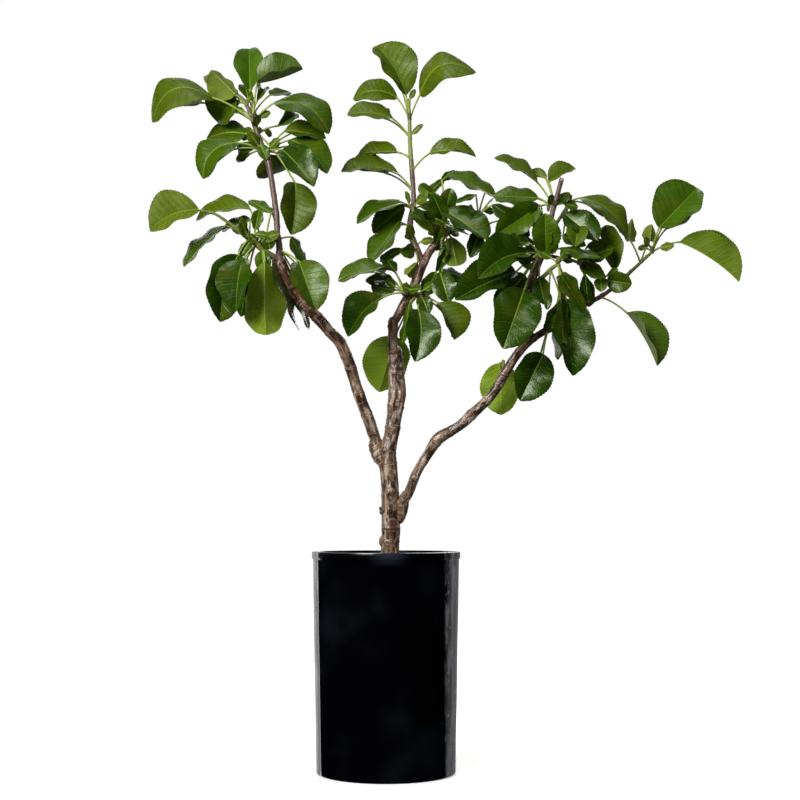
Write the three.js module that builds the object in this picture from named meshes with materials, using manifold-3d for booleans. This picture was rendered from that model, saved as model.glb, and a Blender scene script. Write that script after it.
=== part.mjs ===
// A young pear tree in a tall black nursery pot, as named solids: the pot, its soil, the trunk, the
// boughs, and one solid for each spray of foliage.
// Millimetres, +Z up. X runs to the right and Y away from the viewer. The origin is on the ground,
// on the pot's axis.

import * as THREE from "three";
import { mergeVertices } from "three/addons/utils/BufferGeometryUtils.js";
import Module from "manifold-3d";

const wasm = await Module();
wasm.setup();

// Driving dimensions
const pot = {
  height: 217,
  topRadius: 73.5,
  baseRadius: 69,
  wall: 1.8,
  floor: 2.4,
  lipHeight: 6,
  lipProud: 1.5,
  bevel: 2,
  drainHoles: 6,
  drainRadius: 5,
  drainCircle: 46,
  sides: 40,
};
const soil = { level: 203, edgeDrop: 4, flatRadius: 22 };
const clearance = 0.35; // between one solid and the next
const finestEdge = 0.05;
const limbSides = 9;
const twigSides = 5;
const stalkRadius = 0.9;
const leafStep = 1.2; // between the roots of two leaves of a bud
const ribThickness = 1.5; // of a blade along its midrib
const stalkArch = 0.07; // a stalk's rise over its length
const stalkNearShare = 0.4; // the part of a leaf's nearness that its stalk takes up
// Sections along the blade of a leaf that is at least so long with its stalk.
const bladeSections = [
  { from: 52, at: [0.16, 0.38, 0.64, 0.87] },
  { from: 28, at: [0.2, 0.5, 0.82] },
  { from: 0, at: [0.3, 0.7] },
];
const shortStalk = 13; // a stalk that is no longer than this is straight
const frontView = { distance: 1500, right: 14, up: 245, aim: 369, layoutUp: 372, drawnAt: 1493 };

// The layout of limbs and leaves is drawn as seen from the front by an eye at some distance, which
// looks up a little. This is the point at the depth given that lies on the eye's line of sight
// through a point of the layout.
const eye = new THREE.Vector3(frontView.right, -frontView.distance, frontView.up);
function placed(right, up, back) {
  const ahead = new THREE.Vector3(frontView.right, 0, frontView.aim).sub(eye).normalize();
  const sideways = new THREE.Vector3(1, 0, 0);
  const over = sideways.clone().cross(ahead);
  const sight = ahead
    .multiplyScalar(frontView.drawnAt)
    .addScaledVector(sideways, right - frontView.right)
    .addScaledVector(over, up - frontView.layoutUp);
  return eye.clone().addScaledVector(sight, (frontView.distance + back) / sight.y);
}

// Limbs. A station is [right, up, back, radius].
const trunkStations = [
  [4.5, 200, 0, 16],
  [4.5, 207, 0, 13.6],
  [4.5, 212, 0, 11],
  [4, 219, 0, 9.3],
  [4, 229, 0, 8.9],
  [5, 241, 0, 9.5],
  [4.5, 254, 0, 9],
  [4, 283, 0, 8.8],
  [2, 307, 0, 8.8],
  [1, 320, 0, 9.2],
  [4, 334, 0, 7.1],
  [7, 352, 0, 7],
  [10, 369, 0, 8.5],
  [11.2, 377, 0, 9],
  [10.5, 394, 0, 8.1],
  [9.6, 412, 0, 7.3],
  [8.4, 421, 0, 7],
  [6.8, 425, 0, 5.2],
  [6.8, 438, 0, 4.9],
  [7.2, 450, 0, 5.3],
  [7.4, 454.5, 0, 3.6],
];
const leftBoughStations = [
  [-3, 317, 0, 5],
  [-11, 334, -2, 5.6],
  [-17, 351, -5, 6],
  [-27, 379, -10, 5.8],
  [-37.5, 413, -17, 5.7],
  [-45, 431, -21, 6.2],
  [-53, 440, -23, 5.6],
  [-65, 453, -27, 6],
  [-86, 472, -32, 5.5],
  [-96, 490, -36, 5.8],
  [-105, 508, -39, 6.2],
  [-108, 515, -40, 5.2],
];
const rightBoughStations = [
  [14, 268, -4, 4.2],
  [21, 276, -7, 4.8],
  [31, 300, -10, 4.6],
  [42, 318, -12, 4.9],
  [50, 333, -14, 6],
  [62, 340, -16, 5],
  [76, 348, -18, 5],
  [85, 357, -19, 5.6],
  [94, 365, -20, 4.9],
  [107, 379, -22, 4.7],
  [117.5, 396, -23, 4.9],
  [128, 413.5, -24, 4.4],
  [139, 427, -24, 4.3],
  [152, 437, -20, 3.8],
  [164, 443.5, -15, 3.7],
  [186, 458, -4, 3],
  [200, 469, 2, 3.6],
];
const middleBoughStations = [
  [8, 450, 0, 4],
  [14, 460, 1, 4.6],
  [18, 468, 2, 4.8],
  [26, 481, 4, 5.1],
  [32, 496, 6, 4.8],
  [40, 514, 8, 4.2],
  [47, 525, 8, 4],
  [55, 533, 7, 3.6],
];
const upperBoughStations = [
  [139, 426, -24, 3.6],
  [144, 446, -27, 4.2],
  [147, 472, -28, 4.4],
  [146, 488, -27, 4.6],
  [147, 497, -27, 4.6],
];
// Collars stand where a bough leaves the trunk: [right, up, back, half width, half depth, half
// height, lean in degrees].
const trunkCollars = [
  [17, 270, -3, 5.6, 6.5, 14, 12],
  [-6, 318, 0, 7.5, 7.5, 14, -22],
  [-5.5, 231, -2, 3.5, 4, 6, 0],
];

// Foliage. A form is how a blade is held: whether its upper side faces the viewer or its back
// does, whether it leans away at its upper edge or folds up about its midrib, how far it bows and,
// in degrees, twists, and half its width over its length.
const forms = {
  facing: { face: 1, leans: false, bow: 0.08, twist: 6, half: 0.36 },
  turned: { face: 1, leans: true, bow: 0.03, twist: 6, half: 0.38 },
  back: { face: -1, leans: false, bow: 0.08, twist: 6, half: 0.36 },
  wavy: { face: 1, leans: true, bow: 0.06, twist: 40, half: 0.33 },
  slim: { face: 1, leans: true, bow: 0.04, twist: 12, half: 0.22 },
};

// Each spray of foliage has its stems, as stations, and its buds. A bud is [right, up] beside a
// stem, and each leaf on it is a row: the end of its stalk and the tip of its blade, each as
// [right, up] from the bud; how far the tip stands nearer to the viewer; how far the midrib, the
// left half and the right half of the blade reach sideways, in the direction from base to tip,
// where the midrib's reach counts to the left; and its form.
const sprays = {
  left_leader_foliage: {
    stems: [
      [
        [-107, 513, -40, 3.6],
        [-106.5, 523, -41, 3.4],
        [-108.5, 538, -40, 3],
        [-109.5, 558, -37, 2.9],
        [-112.5, 579, -33, 2.8],
        [-115.5, 599, -29, 2.8],
        [-119, 615, -26, 3.3],
        [-123, 623, -25, 3.2],
        [-129, 640, -22, 2.5],
        [-133, 651, -21, 2.5],
        [-138, 664, -19, 2],
        [-143, 673, -18, 1.7],
        [-149, 678, -17, 1.2],
      ],
    ],
    buds: [
      [
        [-139, 667],
        [
          [-11, 10, -36, 35, 14, 0, 15, 8, "back"],
          [-11, 8, -31, -16, -18, 0, 10, 20, "facing"],
          [1, 6, -2, 20, -30, 0, 7, 7, "facing"],
        ],
      ],
      [
        [-133, 653],
        [
          [-40, 21, -101, -3, 10, -22, 20, 10, "turned"],
          [-3, 33, -5, 70, -36, 0, 15, 12, "facing"],
          [8, 35, 50, 49, 6, -2, 22, -7, "turned"],
          [4, 18, 10, 30, -38, 0, 6, 5, "facing"],
          [17, 24, 37, 28, -30, 0, 8, 3, "turned"],
          [24, 16, 75, -16, 14, 12, 12, 12, "turned"],
        ],
      ],
      [
        [-125, 641],
        [
          [17, 5, 34, 18, -34, 0, 7, 6, "facing"],
          [34, -52, 30, -104, 18, 2, 21, 14, "facing"],
          [-15, -3, -55, -9, -20, -4, 12, 12, "turned"],
        ],
      ],
      [
        [-119, 621],
        [
          [17, 20, 58, 12, -6, 2, 13, 4, "turned"],
          [23, 11, 58, -24, 12, 5, 17, 8, "turned"],
          [14, 1, 43, -35, 30, 2, 16, 9, "facing"],
          [-29, 8, -64, -28, 10, -12, 11, 12, "turned"],
          [-17, -3, -31, -9, -24, 0, 4, 5, "slim"],
          [-11, 5, -29, 1, -26, 0, 6, 7, "facing"],
          [2, -4, 8, -23, -38, 0, 17, 17, "facing"],
        ],
      ],
      [
        [-106, 535],
        [
          [11, 0, 26, -25, -20, 0, 7, 7, "turned"],
          [-8, 25, -30, 37, -42, 0, 4, 5, "slim"],
        ],
      ],
      [
        [-106, 524],
        [
          [19, -14, 36, -63, 28, 0, 22, 12, "facing"],
          [11, -24, 25, -79, -34, 0, 7, 6, "slim"],
        ],
      ],
    ],
  },
  left_side_foliage: {
    stems: [
      [
        [-108, 512, -41, 3.2],
        [-124, 523, -46, 2.8],
        [-136, 532, -52, 2.4],
        [-148, 542, -57, 1.9],
        [-160, 551, -62, 1.5],
        [-171, 558, -66, 1.3],
        [-182, 561, -69, 1.1],
      ],
    ],
    buds: [
      [[-182, 561], [[-5, 1, -53, -20, 0, -6, 11, 23, "turned"]]],
      [
        [-138, 532],
        [
          [-19, 9, -64, -27, 10, -2, 1, 11, "turned"],
          [2, 19, -26, 10, -22, -1, 3, 7, "turned"],
          [-10, -15, -28, -82, 14, -4, 20, 18, "facing"],
        ],
      ],
      [
        [-131, 528],
        [
          [-12, -16, -19, -68, 34, -2, 10, 21, "facing"],
          [-6, -24, -14, -73, -12, 0, 8, 8, "slim"],
          [-6, -2, -16, -16, 6, 0, 5, 4, "slim"],
        ],
      ],
      [
        [-122, 523],
        [
          [-15, 39, -68, 28, -12, -5, 1, 11, "turned"],
          [7, 36, -14, 48, -16, 0, 4, 5, "slim"],
          [1, -13, 2, -86, 30, -1, 20, 20, "back"],
          [-1, 3, -8, 13, 8, 0, 5, 5, "facing"],
        ],
      ],
      [
        [-115, 518],
        [
          [2, -9, 28, -77, 6, 0, 4, 4, "slim"],
          [5, -14, 20, -54, -22, 0, 9, 9, "facing"],
        ],
      ],
    ],
  },
  middle_leader_foliage: {
    stems: [
      [
        [38, 508, 8, 3.2],
        [29.5, 526, 12, 3.4],
        [24.5, 538, 14, 3.4],
        [24.5, 552, 16, 3],
        [27.5, 567, 19, 2.8],
        [27.5, 580, 21, 2.4],
        [26, 601, 25, 2.2],
        [24.5, 622, 28, 1.9],
        [23.8, 636, 30, 2],
        [23.5, 653, 32, 1.6],
        [23, 664, 33, 1.4],
        [22, 673, 34, 1.2],
      ],
    ],
    buds: [
      [
        [23, 653],
        [
          [-3, 24, -33, 73, -12, -4, 9, 23, "facing"],
          [11, 23, 67, 47, 8, 20, 8, 17, "turned"],
          [-13, 20, -53, 17, -10, -8, 8, 12, "turned"],
          [1, 20, 6, 30, -6, 0, 3, 3, "slim"],
        ],
      ],
      [
        [23, 637],
        [
          [-16, 16, -61, 17, 14, -4, 1, 13, "turned"],
          [2, 2, 13, 11, 4, 0, 3, 3, "slim"],
        ],
      ],
      [[23, 615], [[-12, 5, -52, 0, -12, -2, 2, 12, "turned"]]],
      [[28, 603], [[17, 14, 57, 14, 12, 1, 15, 2, "wavy"]]],
      [[25, 582], [[-15, 14, -70, 18, 12, -5, 1, 15, "turned"]]],
      [
        [25, 563],
        [
          [-9, 6, -54, -15, 14, -6, 2, 12, "turned"],
          [-2, 5, -5, 18, -6, 0, 2, 3, "slim"],
          [-7, 3, -38, -24, -10, 0, 10, 14, "turned"],
          [2, -3, 24, -25, 34, 0, 6, 6, "facing"],
        ],
      ],
      [
        [24, 547],
        [
          [-11, 3, -39, -37, 10, 0, 6, 12, "turned"],
          [-10, 0, -34, -11, -14, 0, 4, 6, "slim"],
        ],
      ],
      [
        [29, 526],
        [
          [-1, -4, -15, -6, 26, 0, 8, 7, "facing"],
          [3, -16, -8, -29, 24, 0, 6, 5, "back"],
          [-13, -3, -35, -16, 6, 0, 4, 6, "slim"],
        ],
      ],
    ],
  },
  middle_spur_foliage: {
    stems: [
      [
        [16, 478, -8, 2.2],
        [22, 480, -6, 3],
        [27, 479, -4, 3.2],
        [33, 475, -6, 2.2],
      ],
    ],
    buds: [
      [
        [19, 478],
        [
          [-12, 21, -67, 13, 6, -6, 1, 9, "wavy"],
          [-13, 13, -39, 15, -22, 0, 5, 7, "turned"],
          [-10, 4, -34, 8, -10, 0, 9, 4, "turned"],
          [-25, -7, -57, -43, 26, -6, 6, 21, "facing"],
        ],
      ],
      [
        [30, 475],
        [
          [2, -13, -2, -65, 32, 4, 19, 15, "facing"],
          [-6, -5, -14, -48, 4, 0, 5, 4, "slim"],
          [-21, -40, -36, -95, -34, 0, 22, 22, "back"],
          [5, 3, 13, -17, 10, 0, 8, 8, "facing"],
          [22, -6, 38, -43, 16, 1, 20, 2, "turned"],
        ],
      ],
    ],
  },
  centre_foliage: {
    stems: [
      [
        [53, 531, 7, 3],
        [59, 537, 4, 2.9],
        [66, 541, 1, 2.6],
        [80, 549, -4, 2.2],
        [92, 556, -6, 1.9],
        [101, 547, -6, 1.4],
      ],
    ],
    buds: [
      [
        [58, 536],
        [
          [-4, -36, 5, -67, 14, 0, 12, 12, "facing"],
          [-8, -36, -21, -60, -14, 0, 8, 8, "facing"],
          [-2, -35, 26, -41, -22, 0, 5, 8, "turned"],
          [-4, -10, -9, -15, 34, 0, 5, 5, "facing"],
        ],
      ],
      [
        [60, 540],
        [
          [5, -5, 11, -34, 18, 0, 12, 14, "back"],
          [-2, 22, 41, -8, 40, 1, 18, 7, "turned"],
          [-10, 13, 22, -3, 54, 0, 4, 3, "slim"],
          [-9, 34, -27, 47, -10, 0, 7, 6, "facing"],
          [0, 22, 5, 44, 14, 0, 9, 9, "facing"],
          [-5, 23, -15, 38, -4, 0, 5, 5, "slim"],
          [-18, 38, -2, 53, -16, 0, 5, 4, "slim"],
          [-5, 5, -11, -14, 24, 0, 6, 6, "facing"],
          [-4, 6, -34, 19, 10, 0, 9, 9, "facing"],
          [-2, 12, -14, 40, 22, 0, 9, 9, "facing"],
        ],
      ],
      [
        [92, 556],
        [
          [17, 19, -31, 42, 0, -1, 3, 13, "turned"],
          [-2, 21, -22, 13, 16, 0, 2, 4, "slim"],
          [15, 11, 50, -12, 4, 0, 8, 8, "turned"],
        ],
      ],
      [[101, 547], [[13, 4, 43, -11, -8, 0, 8, 8, "facing"]]],
    ],
  },
  right_upper_foliage: {
    stems: [
      [
        [147, 495, -27, 4.4],
        [150.5, 507, -26, 4.8],
        [155, 518, -26, 4.8],
        [159, 530, -28, 2.9],
        [164, 550, -31, 2.6],
        [170, 572, -34, 2.4],
        [176, 594, -37, 2.3],
      ],
      [
        [156, 521, -27, 2.4],
        [165, 540, -20, 2],
        [179, 562, -12, 1.7],
        [184, 572, -10, 1.3],
      ],
      [
        [154, 517, -26, 2.4],
        [164, 516, -19, 1.9],
        [178, 513, -14, 1.6],
        [193, 509, -10, 1.4],
        [206, 499, -9, 1.3],
        [217, 492, -9, 1.1],
      ],
    ],
    buds: [
      [
        [167, 566],
        [
          [-15, 8, -60, 10, -10, 0, 7, 12, "turned"],
          [-16, 24, -59, 47, 4, -2, 1, 11, "wavy"],
          [-4, 24, 23, 36, -8, 1, 13, 1, "turned"],
          [-7, 27, -23, 35, -16, 0, 2, 7, "slim"],
          [-13, 0, -58, -29, -8, 0, 13, 14, "facing"],
        ],
      ],
      [
        [184, 571],
        [
          [11, 3, 55, -38, 10, 9, 9, 7, "turned"],
          [-5, -13, 28, -40, 26, 0, 17, 8, "turned"],
          [8, -26, 5, -46, 44, 0, 11, 11, "facing"],
        ],
      ],
      [
        [159, 518],
        [
          [1, 2, 0, 41, 30, 0, 13, 12, "facing"],
          [18, 6, 55, -4, 26, 0, 5, 6, "turned"],
          [-12, 28, -6, 50, 10, 0, 6, 7, "facing"],
        ],
      ],
      [
        [154, 518],
        [
          [-11, 11, -35, 11, 20, 0, 3, 10, "turned"],
          [-13, 0, -62, -25, 38, -5, 10, 23, "facing"],
          [-24, -18, -85, -46, 18, -2, 9, 24, "facing"],
          [-10, -8, -26, -3, 50, 0, 7, 5, "facing"],
          [-16, -36, -37, -95, 52, 0, 24, 20, "facing"],
          [-15, -21, -46, -53, 4, 0, 15, 12, "facing"],
          [-1, -24, 5, -51, 14, 0, 8, 9, "facing"],
        ],
      ],
      [
        [193, 509],
        [
          [2, 1, 27, -15, 18, 0, 7, 8, "facing"],
          [-2, -9, 1, -28, 12, 0, 5, 6, "slim"],
          [7, -1, 19, 5, 26, 0, 4, 4, "slim"],
          [5, 5, 35, 15, 12, 0, 8, 8, "turned"],
          [-2, -8, 3, -42, -16, 0, 9, 9, "facing"],
        ],
      ],
      [
        [216, 493],
        [
          [12, 9, 4, 54, -10, 0, 6, 13, "facing"],
          [5, -1, 30, -5, 10, 0, 11, 9, "facing"],
          [-1, 1, -1, -13, 14, 0, 7, 7, "facing"],
        ],
      ],
    ],
  },
  right_lower_foliage: {
    stems: [
      [
        [148, 488, -29, 2.4],
        [158, 496, -34, 2.1],
        [165, 503, -37, 2],
        [172, 508, -40, 1.7],
      ],
    ],
    buds: [
      [
        [172, 509],
        [
          [3, -12, 27, -50, 34, 0, 9, 8, "facing"],
          [8, -36, 15, -113, 18, 0, 22, 13, "facing"],
          [4, -38, -3, -98, 2, 0, 8, 7, "turned"],
          [2, -18, 5, -79, 48, 0, 6, 4, "back"],
        ],
      ],
      [[165, 504], [[-2, -25, -4, -42, 8, 0, 4, 4, "slim"]]],
    ],
  },
  right_twig_foliage: {
    stems: [
      [
        [161, 441, -17, 2],
        [164, 446, -22, 1.8],
        [166, 449, -26, 1.4],
      ],
    ],
    buds: [
      [
        [164, 444],
        [
          [-7, -26, -30, -73, 14, 0, 20, 19, "facing"],
          [1, 4, 7, -6, -8, 0, 4, 4, "slim"],
        ],
      ],
    ],
  },
  right_bough_leaf: {
    stems: [
      [
        [118, 402, -22, 2.2],
        [117, 411, -13, 1.6],
      ],
    ],
    buds: [[[117, 411], [[0, -6, -2, -54, -14, 0, 18, 20, "back"]]]],
  },
  right_tip_foliage: {
    stems: [
      [
        [197, 467, 1, 2.8],
        [214, 475, 8, 2.3],
        [224, 482, 12, 2.1],
        [239, 495, 18, 1.9],
        [254, 509, 24, 1.7],
        [266, 520, 28, 1.5],
      ],
    ],
    buds: [
      [
        [266, 522],
        [
          [9, 19, 43, 63, -14, 1, 26, 16, "facing"],
          [14, 18, 38, 40, -44, 0, 12, 12, "facing"],
          [28, 7, 87, -32, 4, 4, 27, -25, "turned"],
        ],
      ],
      [
        [254, 512],
        [
          [-10, 20, -8, 42, -28, 0, 5, 6, "back"],
          [10, 20, 12, 36, -30, 0, 9, 6, "back"],
        ],
      ],
      [[216, 474], [[25, -16, 55, -68, 22, 3, 22, -5, "turned"]]],
    ],
  },
};
// Behind a leaf that hides it, a bud bears another that points away from the viewer.
const rear = {
  chance: 0.5,
  deepestFront: -16,
  leastBlade: 34,
  tipShare: 0.76,
  widthShare: 0.75,
  back: [40, 74],
};
const depthNudges = [0, 5, -5, 10, -10, 16, -16, 24, -24];
const mostTouch = 14; // cubic millimetres of a limb that a stalk may be cut clear of

// A seeded stream of numbers from 0 to 1.
function stream(seed) {
  let state = seed;
  return () => {
    state = (state * 1664525 + 1013904223) % 4294967296;
    return state / 4294967296;
  };
}

function solidFrom(geometry) {
  const bare = geometry.index ? geometry.toNonIndexed() : geometry.clone();
  bare.deleteAttribute("normal");
  bare.deleteAttribute("uv");
  const merged = mergeVertices(bare, 1e-4);
  const mesh = new wasm.Mesh({
    numProp: 3,
    vertProperties: new Float32Array(merged.attributes.position.array),
    triVerts: new Uint32Array(merged.index.array),
  });
  return new wasm.Manifold(mesh);
}

function geometryFrom(solid) {
  const mesh = solid.simplify(finestEdge).getMesh();
  const geometry = new THREE.BufferGeometry();
  geometry.setAttribute("position", new THREE.BufferAttribute(mesh.vertProperties, 3));
  geometry.setIndex(new THREE.BufferAttribute(mesh.triVerts, 1));
  return geometry;
}

function largestPiece(solid) {
  const pieces = solid.decompose();
  return pieces.reduce((a, b) => (b.volume() > a.volume() ? b : a));
}

// A closed skin over rings of equal count, with a fan over each end. An end ring of one point is
// a tip.
function skinned(rings) {
  const positions = [];
  const push = (...points) => points.forEach((p) => positions.push(p.x, p.y, p.z));
  rings.slice(1).forEach((ring, i) => {
    const before = rings[i];
    const count = Math.max(ring.length, before.length);
    for (let j = 0; j < count; j++) {
      const k = (j + 1) % count;
      const [a, b] = [before[j % before.length], before[k % before.length]];
      const [c, d] = [ring[j % ring.length], ring[k % ring.length]];
      if (before.length > 1) push(a, b, d);
      if (ring.length > 1) push(a, d, c);
    }
  });
  const [first, last] = [rings[0], rings[rings.length - 1]];
  for (let j = 1; j < first.length - 1; j++) push(first[0], first[j + 1], first[j]);
  for (let j = 1; j < last.length - 1; j++) push(last[0], last[j], last[j + 1]);
  const geometry = new THREE.BufferGeometry();
  return geometry.setAttribute("position", new THREE.Float32BufferAttribute(positions, 3));
}

// A tapering limb: a round section carried along a smooth curve through the stations.
function limb(stations, sides, stepsEach = 2, grow = 0) {
  const curve = new THREE.CatmullRomCurve3(
    stations.map(([right, up, back]) => placed(right, up, back)),
    false,
    "centripetal",
  );
  const steps = (stations.length - 1) * stepsEach;
  let across = new THREE.Vector3(1, 0, 0);
  const rings = [];
  for (let i = 0; i <= steps; i++) {
    const at = i / steps;
    const centre = curve.getPoint(at);
    const along = curve.getTangent(at);
    across.addScaledVector(along, -across.dot(along)).normalize();
    const other = along.clone().cross(across);
    const place = Math.min(Math.floor(i / stepsEach), stations.length - 2);
    const share = i / stepsEach - place;
    const radius = THREE.MathUtils.lerp(stations[place][3], stations[place + 1][3], share) + grow;
    const ring = [];
    for (let j = 0; j < sides; j++) {
      const angle = (2 * Math.PI * j) / sides;
      ring.push(
        centre
          .clone()
          .addScaledVector(across, radius * Math.cos(angle))
          .addScaledVector(other, radius * Math.sin(angle)),
      );
    }
    rings.push(ring);
  }
  if (grow > 0) {
    const lift = (ring, by) => ring.map((p) => p.clone().add(by));
    const start = curve.getTangent(0).multiplyScalar(-grow);
    const end = curve.getTangent(1).multiplyScalar(grow);
    rings[0] = lift(rings[0], start);
    rings[rings.length - 1] = lift(rings[rings.length - 1], end);
  }
  return solidFrom(skinned(rings));
}

function collar([right, up, back, halfWidth, halfDepth, halfHeight, lean], grow = 0) {
  const ball = new THREE.SphereGeometry(1, 10, 8);
  ball.scale(halfWidth + grow, halfHeight + grow, halfDepth + grow);
  ball.rotateX(Math.PI / 2);
  ball.rotateY(THREE.MathUtils.degToRad(lean));
  const place = placed(right, up, back);
  ball.translate(place.x, place.y, place.z);
  return solidFrom(ball);
}

// The trunk ends flat on the soil.
function trunkSolid(grow = 0) {
  const whole = trunkCollars.reduce(
    (made, each) => made.add(collar(each, grow)),
    limb(trunkStations, limbSides, 2, grow),
  );
  return whole.trimByPlane([0, 0, 1], soil.level + 0.3);
}

// One leaf with its stalk, as a single loft: four-sided sections along the stalk, then along the
// midrib, where two of the four are the blade's edges. Each half of the blade swings about the
// midrib until it reaches as far sideways as it should.
function leaf(root, stalkEnd, tip, [mid, leftReach, rightReach, formName], rings) {
  const form = forms[formName];
  const length = stalkEnd.distanceTo(tip);
  const axis = tip.clone().sub(stalkEnd).divideScalar(length);
  const out = eye.clone().sub(stalkEnd).normalize();
  out.addScaledVector(axis, -out.dot(axis)).normalize();
  const sideways = out.clone().cross(axis);
  const near = out.clone().multiplyScalar(form.face);
  const half = Math.max(form.half * length, 1.03 * Math.abs(leftReach), 1.03 * Math.abs(rightReach));
  const tilt = form.leans ? Math.sign(sideways.z || 1) : 0;
  const leftSwing = Math.acos(leftReach / half) * (tilt || -1);
  const rightSwing = Math.acos(rightReach / half) * (tilt || 1);
  const turn = (leftSwing + rightSwing) / 2;
  const normal = near.clone().multiplyScalar(Math.cos(turn));
  normal.addScaledVector(sideways, Math.sin(turn));
  const left = normal.clone().cross(axis);

  const stalkAxis = stalkEnd.clone().sub(root).normalize();
  const bend = stalkAxis.clone().add(axis).normalize();
  const stalkRise = stalkArch * root.distanceTo(stalkEnd);
  const stalk = [
    [0, 1.2, stalkAxis],
    [0.5, stalkRadius, stalkAxis],
    [0.97, stalkRadius, bend],
  ];
  if (root.distanceTo(stalkEnd) < shortStalk) stalk.splice(1, 1);
  const sections = [];
  for (const [t, radius, along] of stalk) {
    const centre = root.clone().lerp(stalkEnd, t);
    centre.z += 4 * stalkRise * t * (1 - t);
    const carried = new THREE.Quaternion().setFromUnitVectors(axis, along);
    const across = left.clone().applyQuaternion(carried).multiplyScalar(radius);
    const upward = normal.clone().applyQuaternion(carried).multiplyScalar(radius);
    sections.push([
      centre.clone().add(across),
      centre.clone().add(upward),
      centre.clone().sub(across),
      centre.clone().sub(upward),
    ]);
  }
  for (const t of rings) {
    const rise = 4 * t * (1 - t);
    const centre = stalkEnd.clone().lerp(tip, t);
    centre.addScaledVector(sideways, mid * rise).addScaledVector(near, form.bow * length * rise);
    const reach = half * bladeOutline(t);
    const twist = THREE.MathUtils.degToRad(form.twist) * (t - 0.4);
    const swung = (swing, side) =>
      centre
        .clone()
        .addScaledVector(sideways, side * reach * Math.cos(swing + twist))
        .addScaledVector(near, -side * reach * Math.sin(swing + twist));
    const edges = [swung(leftSwing, 1), swung(rightSwing, -1)];
    if (form.face < 0) edges.reverse();
    sections.push([
      edges[0],
      centre.clone().addScaledVector(normal, ribThickness / 2),
      edges[1],
      centre.clone().addScaledVector(normal, -ribThickness / 2),
    ]);
  }
  sections.push([tip.clone()]);
  return solidFrom(skinned(sections));
}

// A pear leaf's outline: broadest just below its middle, with a short point. It is a little full,
// since straight edges between sections lie inside a curve.
function bladeOutline(t) {
  return 1.12 * Math.pow(Math.sin(Math.PI * Math.pow(t, 0.88)), 0.68);
}

// The place on a spray's stems from which a leaf of a bud grows. The leaves of a bud stand a little
// above each other.
function onStem(stems, [right, budUp], turn) {
  const up = budUp + leafStep * ((turn % 5) - 2);
  let best = null;
  for (const stations of stems) {
    const curve = new THREE.CatmullRomCurve3(
      stations.map(([r, u, b]) => new THREE.Vector3(r, u, b)),
      false,
      "centripetal",
    );
    for (let i = 0; i <= 200; i++) {
      const p = curve.getPoint(i / 200);
      const off = Math.hypot(p.x - right, p.y - up);
      if (!best || off < best.off) best = { off, right: p.x, up: p.y, back: p.z };
    }
  }
  return best;
}

// The leaf that a row asks for.
function leafFromRow([right, up], from, row, nudge, plain) {
  const [stalkRight, stalkUp, tipRight, tipUp, near, ...blade] = row;
  const reach = near + nudge;
  const root = placed(from.right, from.up, from.back);
  const end = placed(right + stalkRight, up + stalkUp, from.back - reach * stalkNearShare);
  const tip = placed(right + tipRight, up + tipUp, from.back - reach);
  const shown = bladeSections.find(({ from: least }) => root.distanceTo(tip) >= least);
  return leaf(root, end, tip, blade, plain ? bladeSections[2].at : shown.at);
}

// The leaf behind a leaf lies within its outline as seen from the front.
function rearRow(row, random) {
  const [stalkRight, stalkUp, tipRight, tipUp, near, mid, left, right] = row;
  const draws = [random(), random(), random()];
  const blade = Math.hypot(tipRight - stalkRight, tipUp - stalkUp);
  const hidden = near > rear.deepestFront && blade > rear.leastBlade;
  if (!hidden || draws[0] > rear.chance) return null;
  const back = THREE.MathUtils.lerp(rear.back[0], rear.back[1], draws[1]);
  const share = rear.tipShare * (0.9 + 0.2 * draws[2]);
  return [
    stalkRight,
    stalkUp,
    THREE.MathUtils.lerp(stalkRight, tipRight, share),
    THREE.MathUtils.lerp(stalkUp, tipUp, share),
    -back,
    mid * share,
    left * share * rear.widthShare,
    right * share * rear.widthShare,
    "turned",
  ];
}

// Every spray takes its leaves in the same order, the ones that show first. A leaf that would
// touch a limb or another spray is moved nearer or further back, and skipped if that fails.
function growSprays(limbs) {
  const sprayNames = Object.keys(sprays);
  const stemSolids = (name, grow) => sprays[name].stems.map((s) => limb(s, twigSides, 1, grow));
  const grown = new Map(sprayNames.map((name) => [name, stemSolids(name, 0)]));
  const stemRoom = new Map(sprayNames.map((name) => [name, stemSolids(name, clearance)]));
  const meets = (solid, most) => (one) => one.intersect(solid).volume() > most;
  const touches = (name, solid) =>
    limbs.some(meets(solid, mostTouch)) ||
    sprayNames.some(
      (other) =>
        other !== name &&
        (grown.get(other).some(meets(solid, 0)) || stemRoom.get(other).some(meets(solid, 0))),
    );
  let skipped = 0;
  const add = (name, bud, turn, row, plain) => {
    const from = onStem(sprays[name].stems, bud, turn);
    for (const nudge of depthNudges) {
      const solid = leafFromRow(bud, from, row, nudge, plain);
      if (!touches(name, solid)) {
        grown.get(name).push(solid);
        return;
      }
    }
    skipped += 1;
  };
  for (const name of sprayNames) {
    for (const [bud, rows] of sprays[name].buds) rows.forEach((row, i) => add(name, bud, i, row, false));
  }
  sprayNames.forEach((name, i) => {
    const random = stream(101 + i);
    for (const [bud, rows] of sprays[name].buds) {
      rows.forEach((row, j) => {
        const behind = rearRow(row, random);
        if (behind) add(name, bud, j + 0.5, behind, true);
      });
    }
  });
  const total = [...grown.values()].reduce((sum, list) => sum + list.length, 0);
  console.log(total + " twigs and leaves, " + skipped + " skipped");
  return sprayNames.map((name) => [name, grown.get(name), stemRoom.get(name)]);
}

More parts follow.
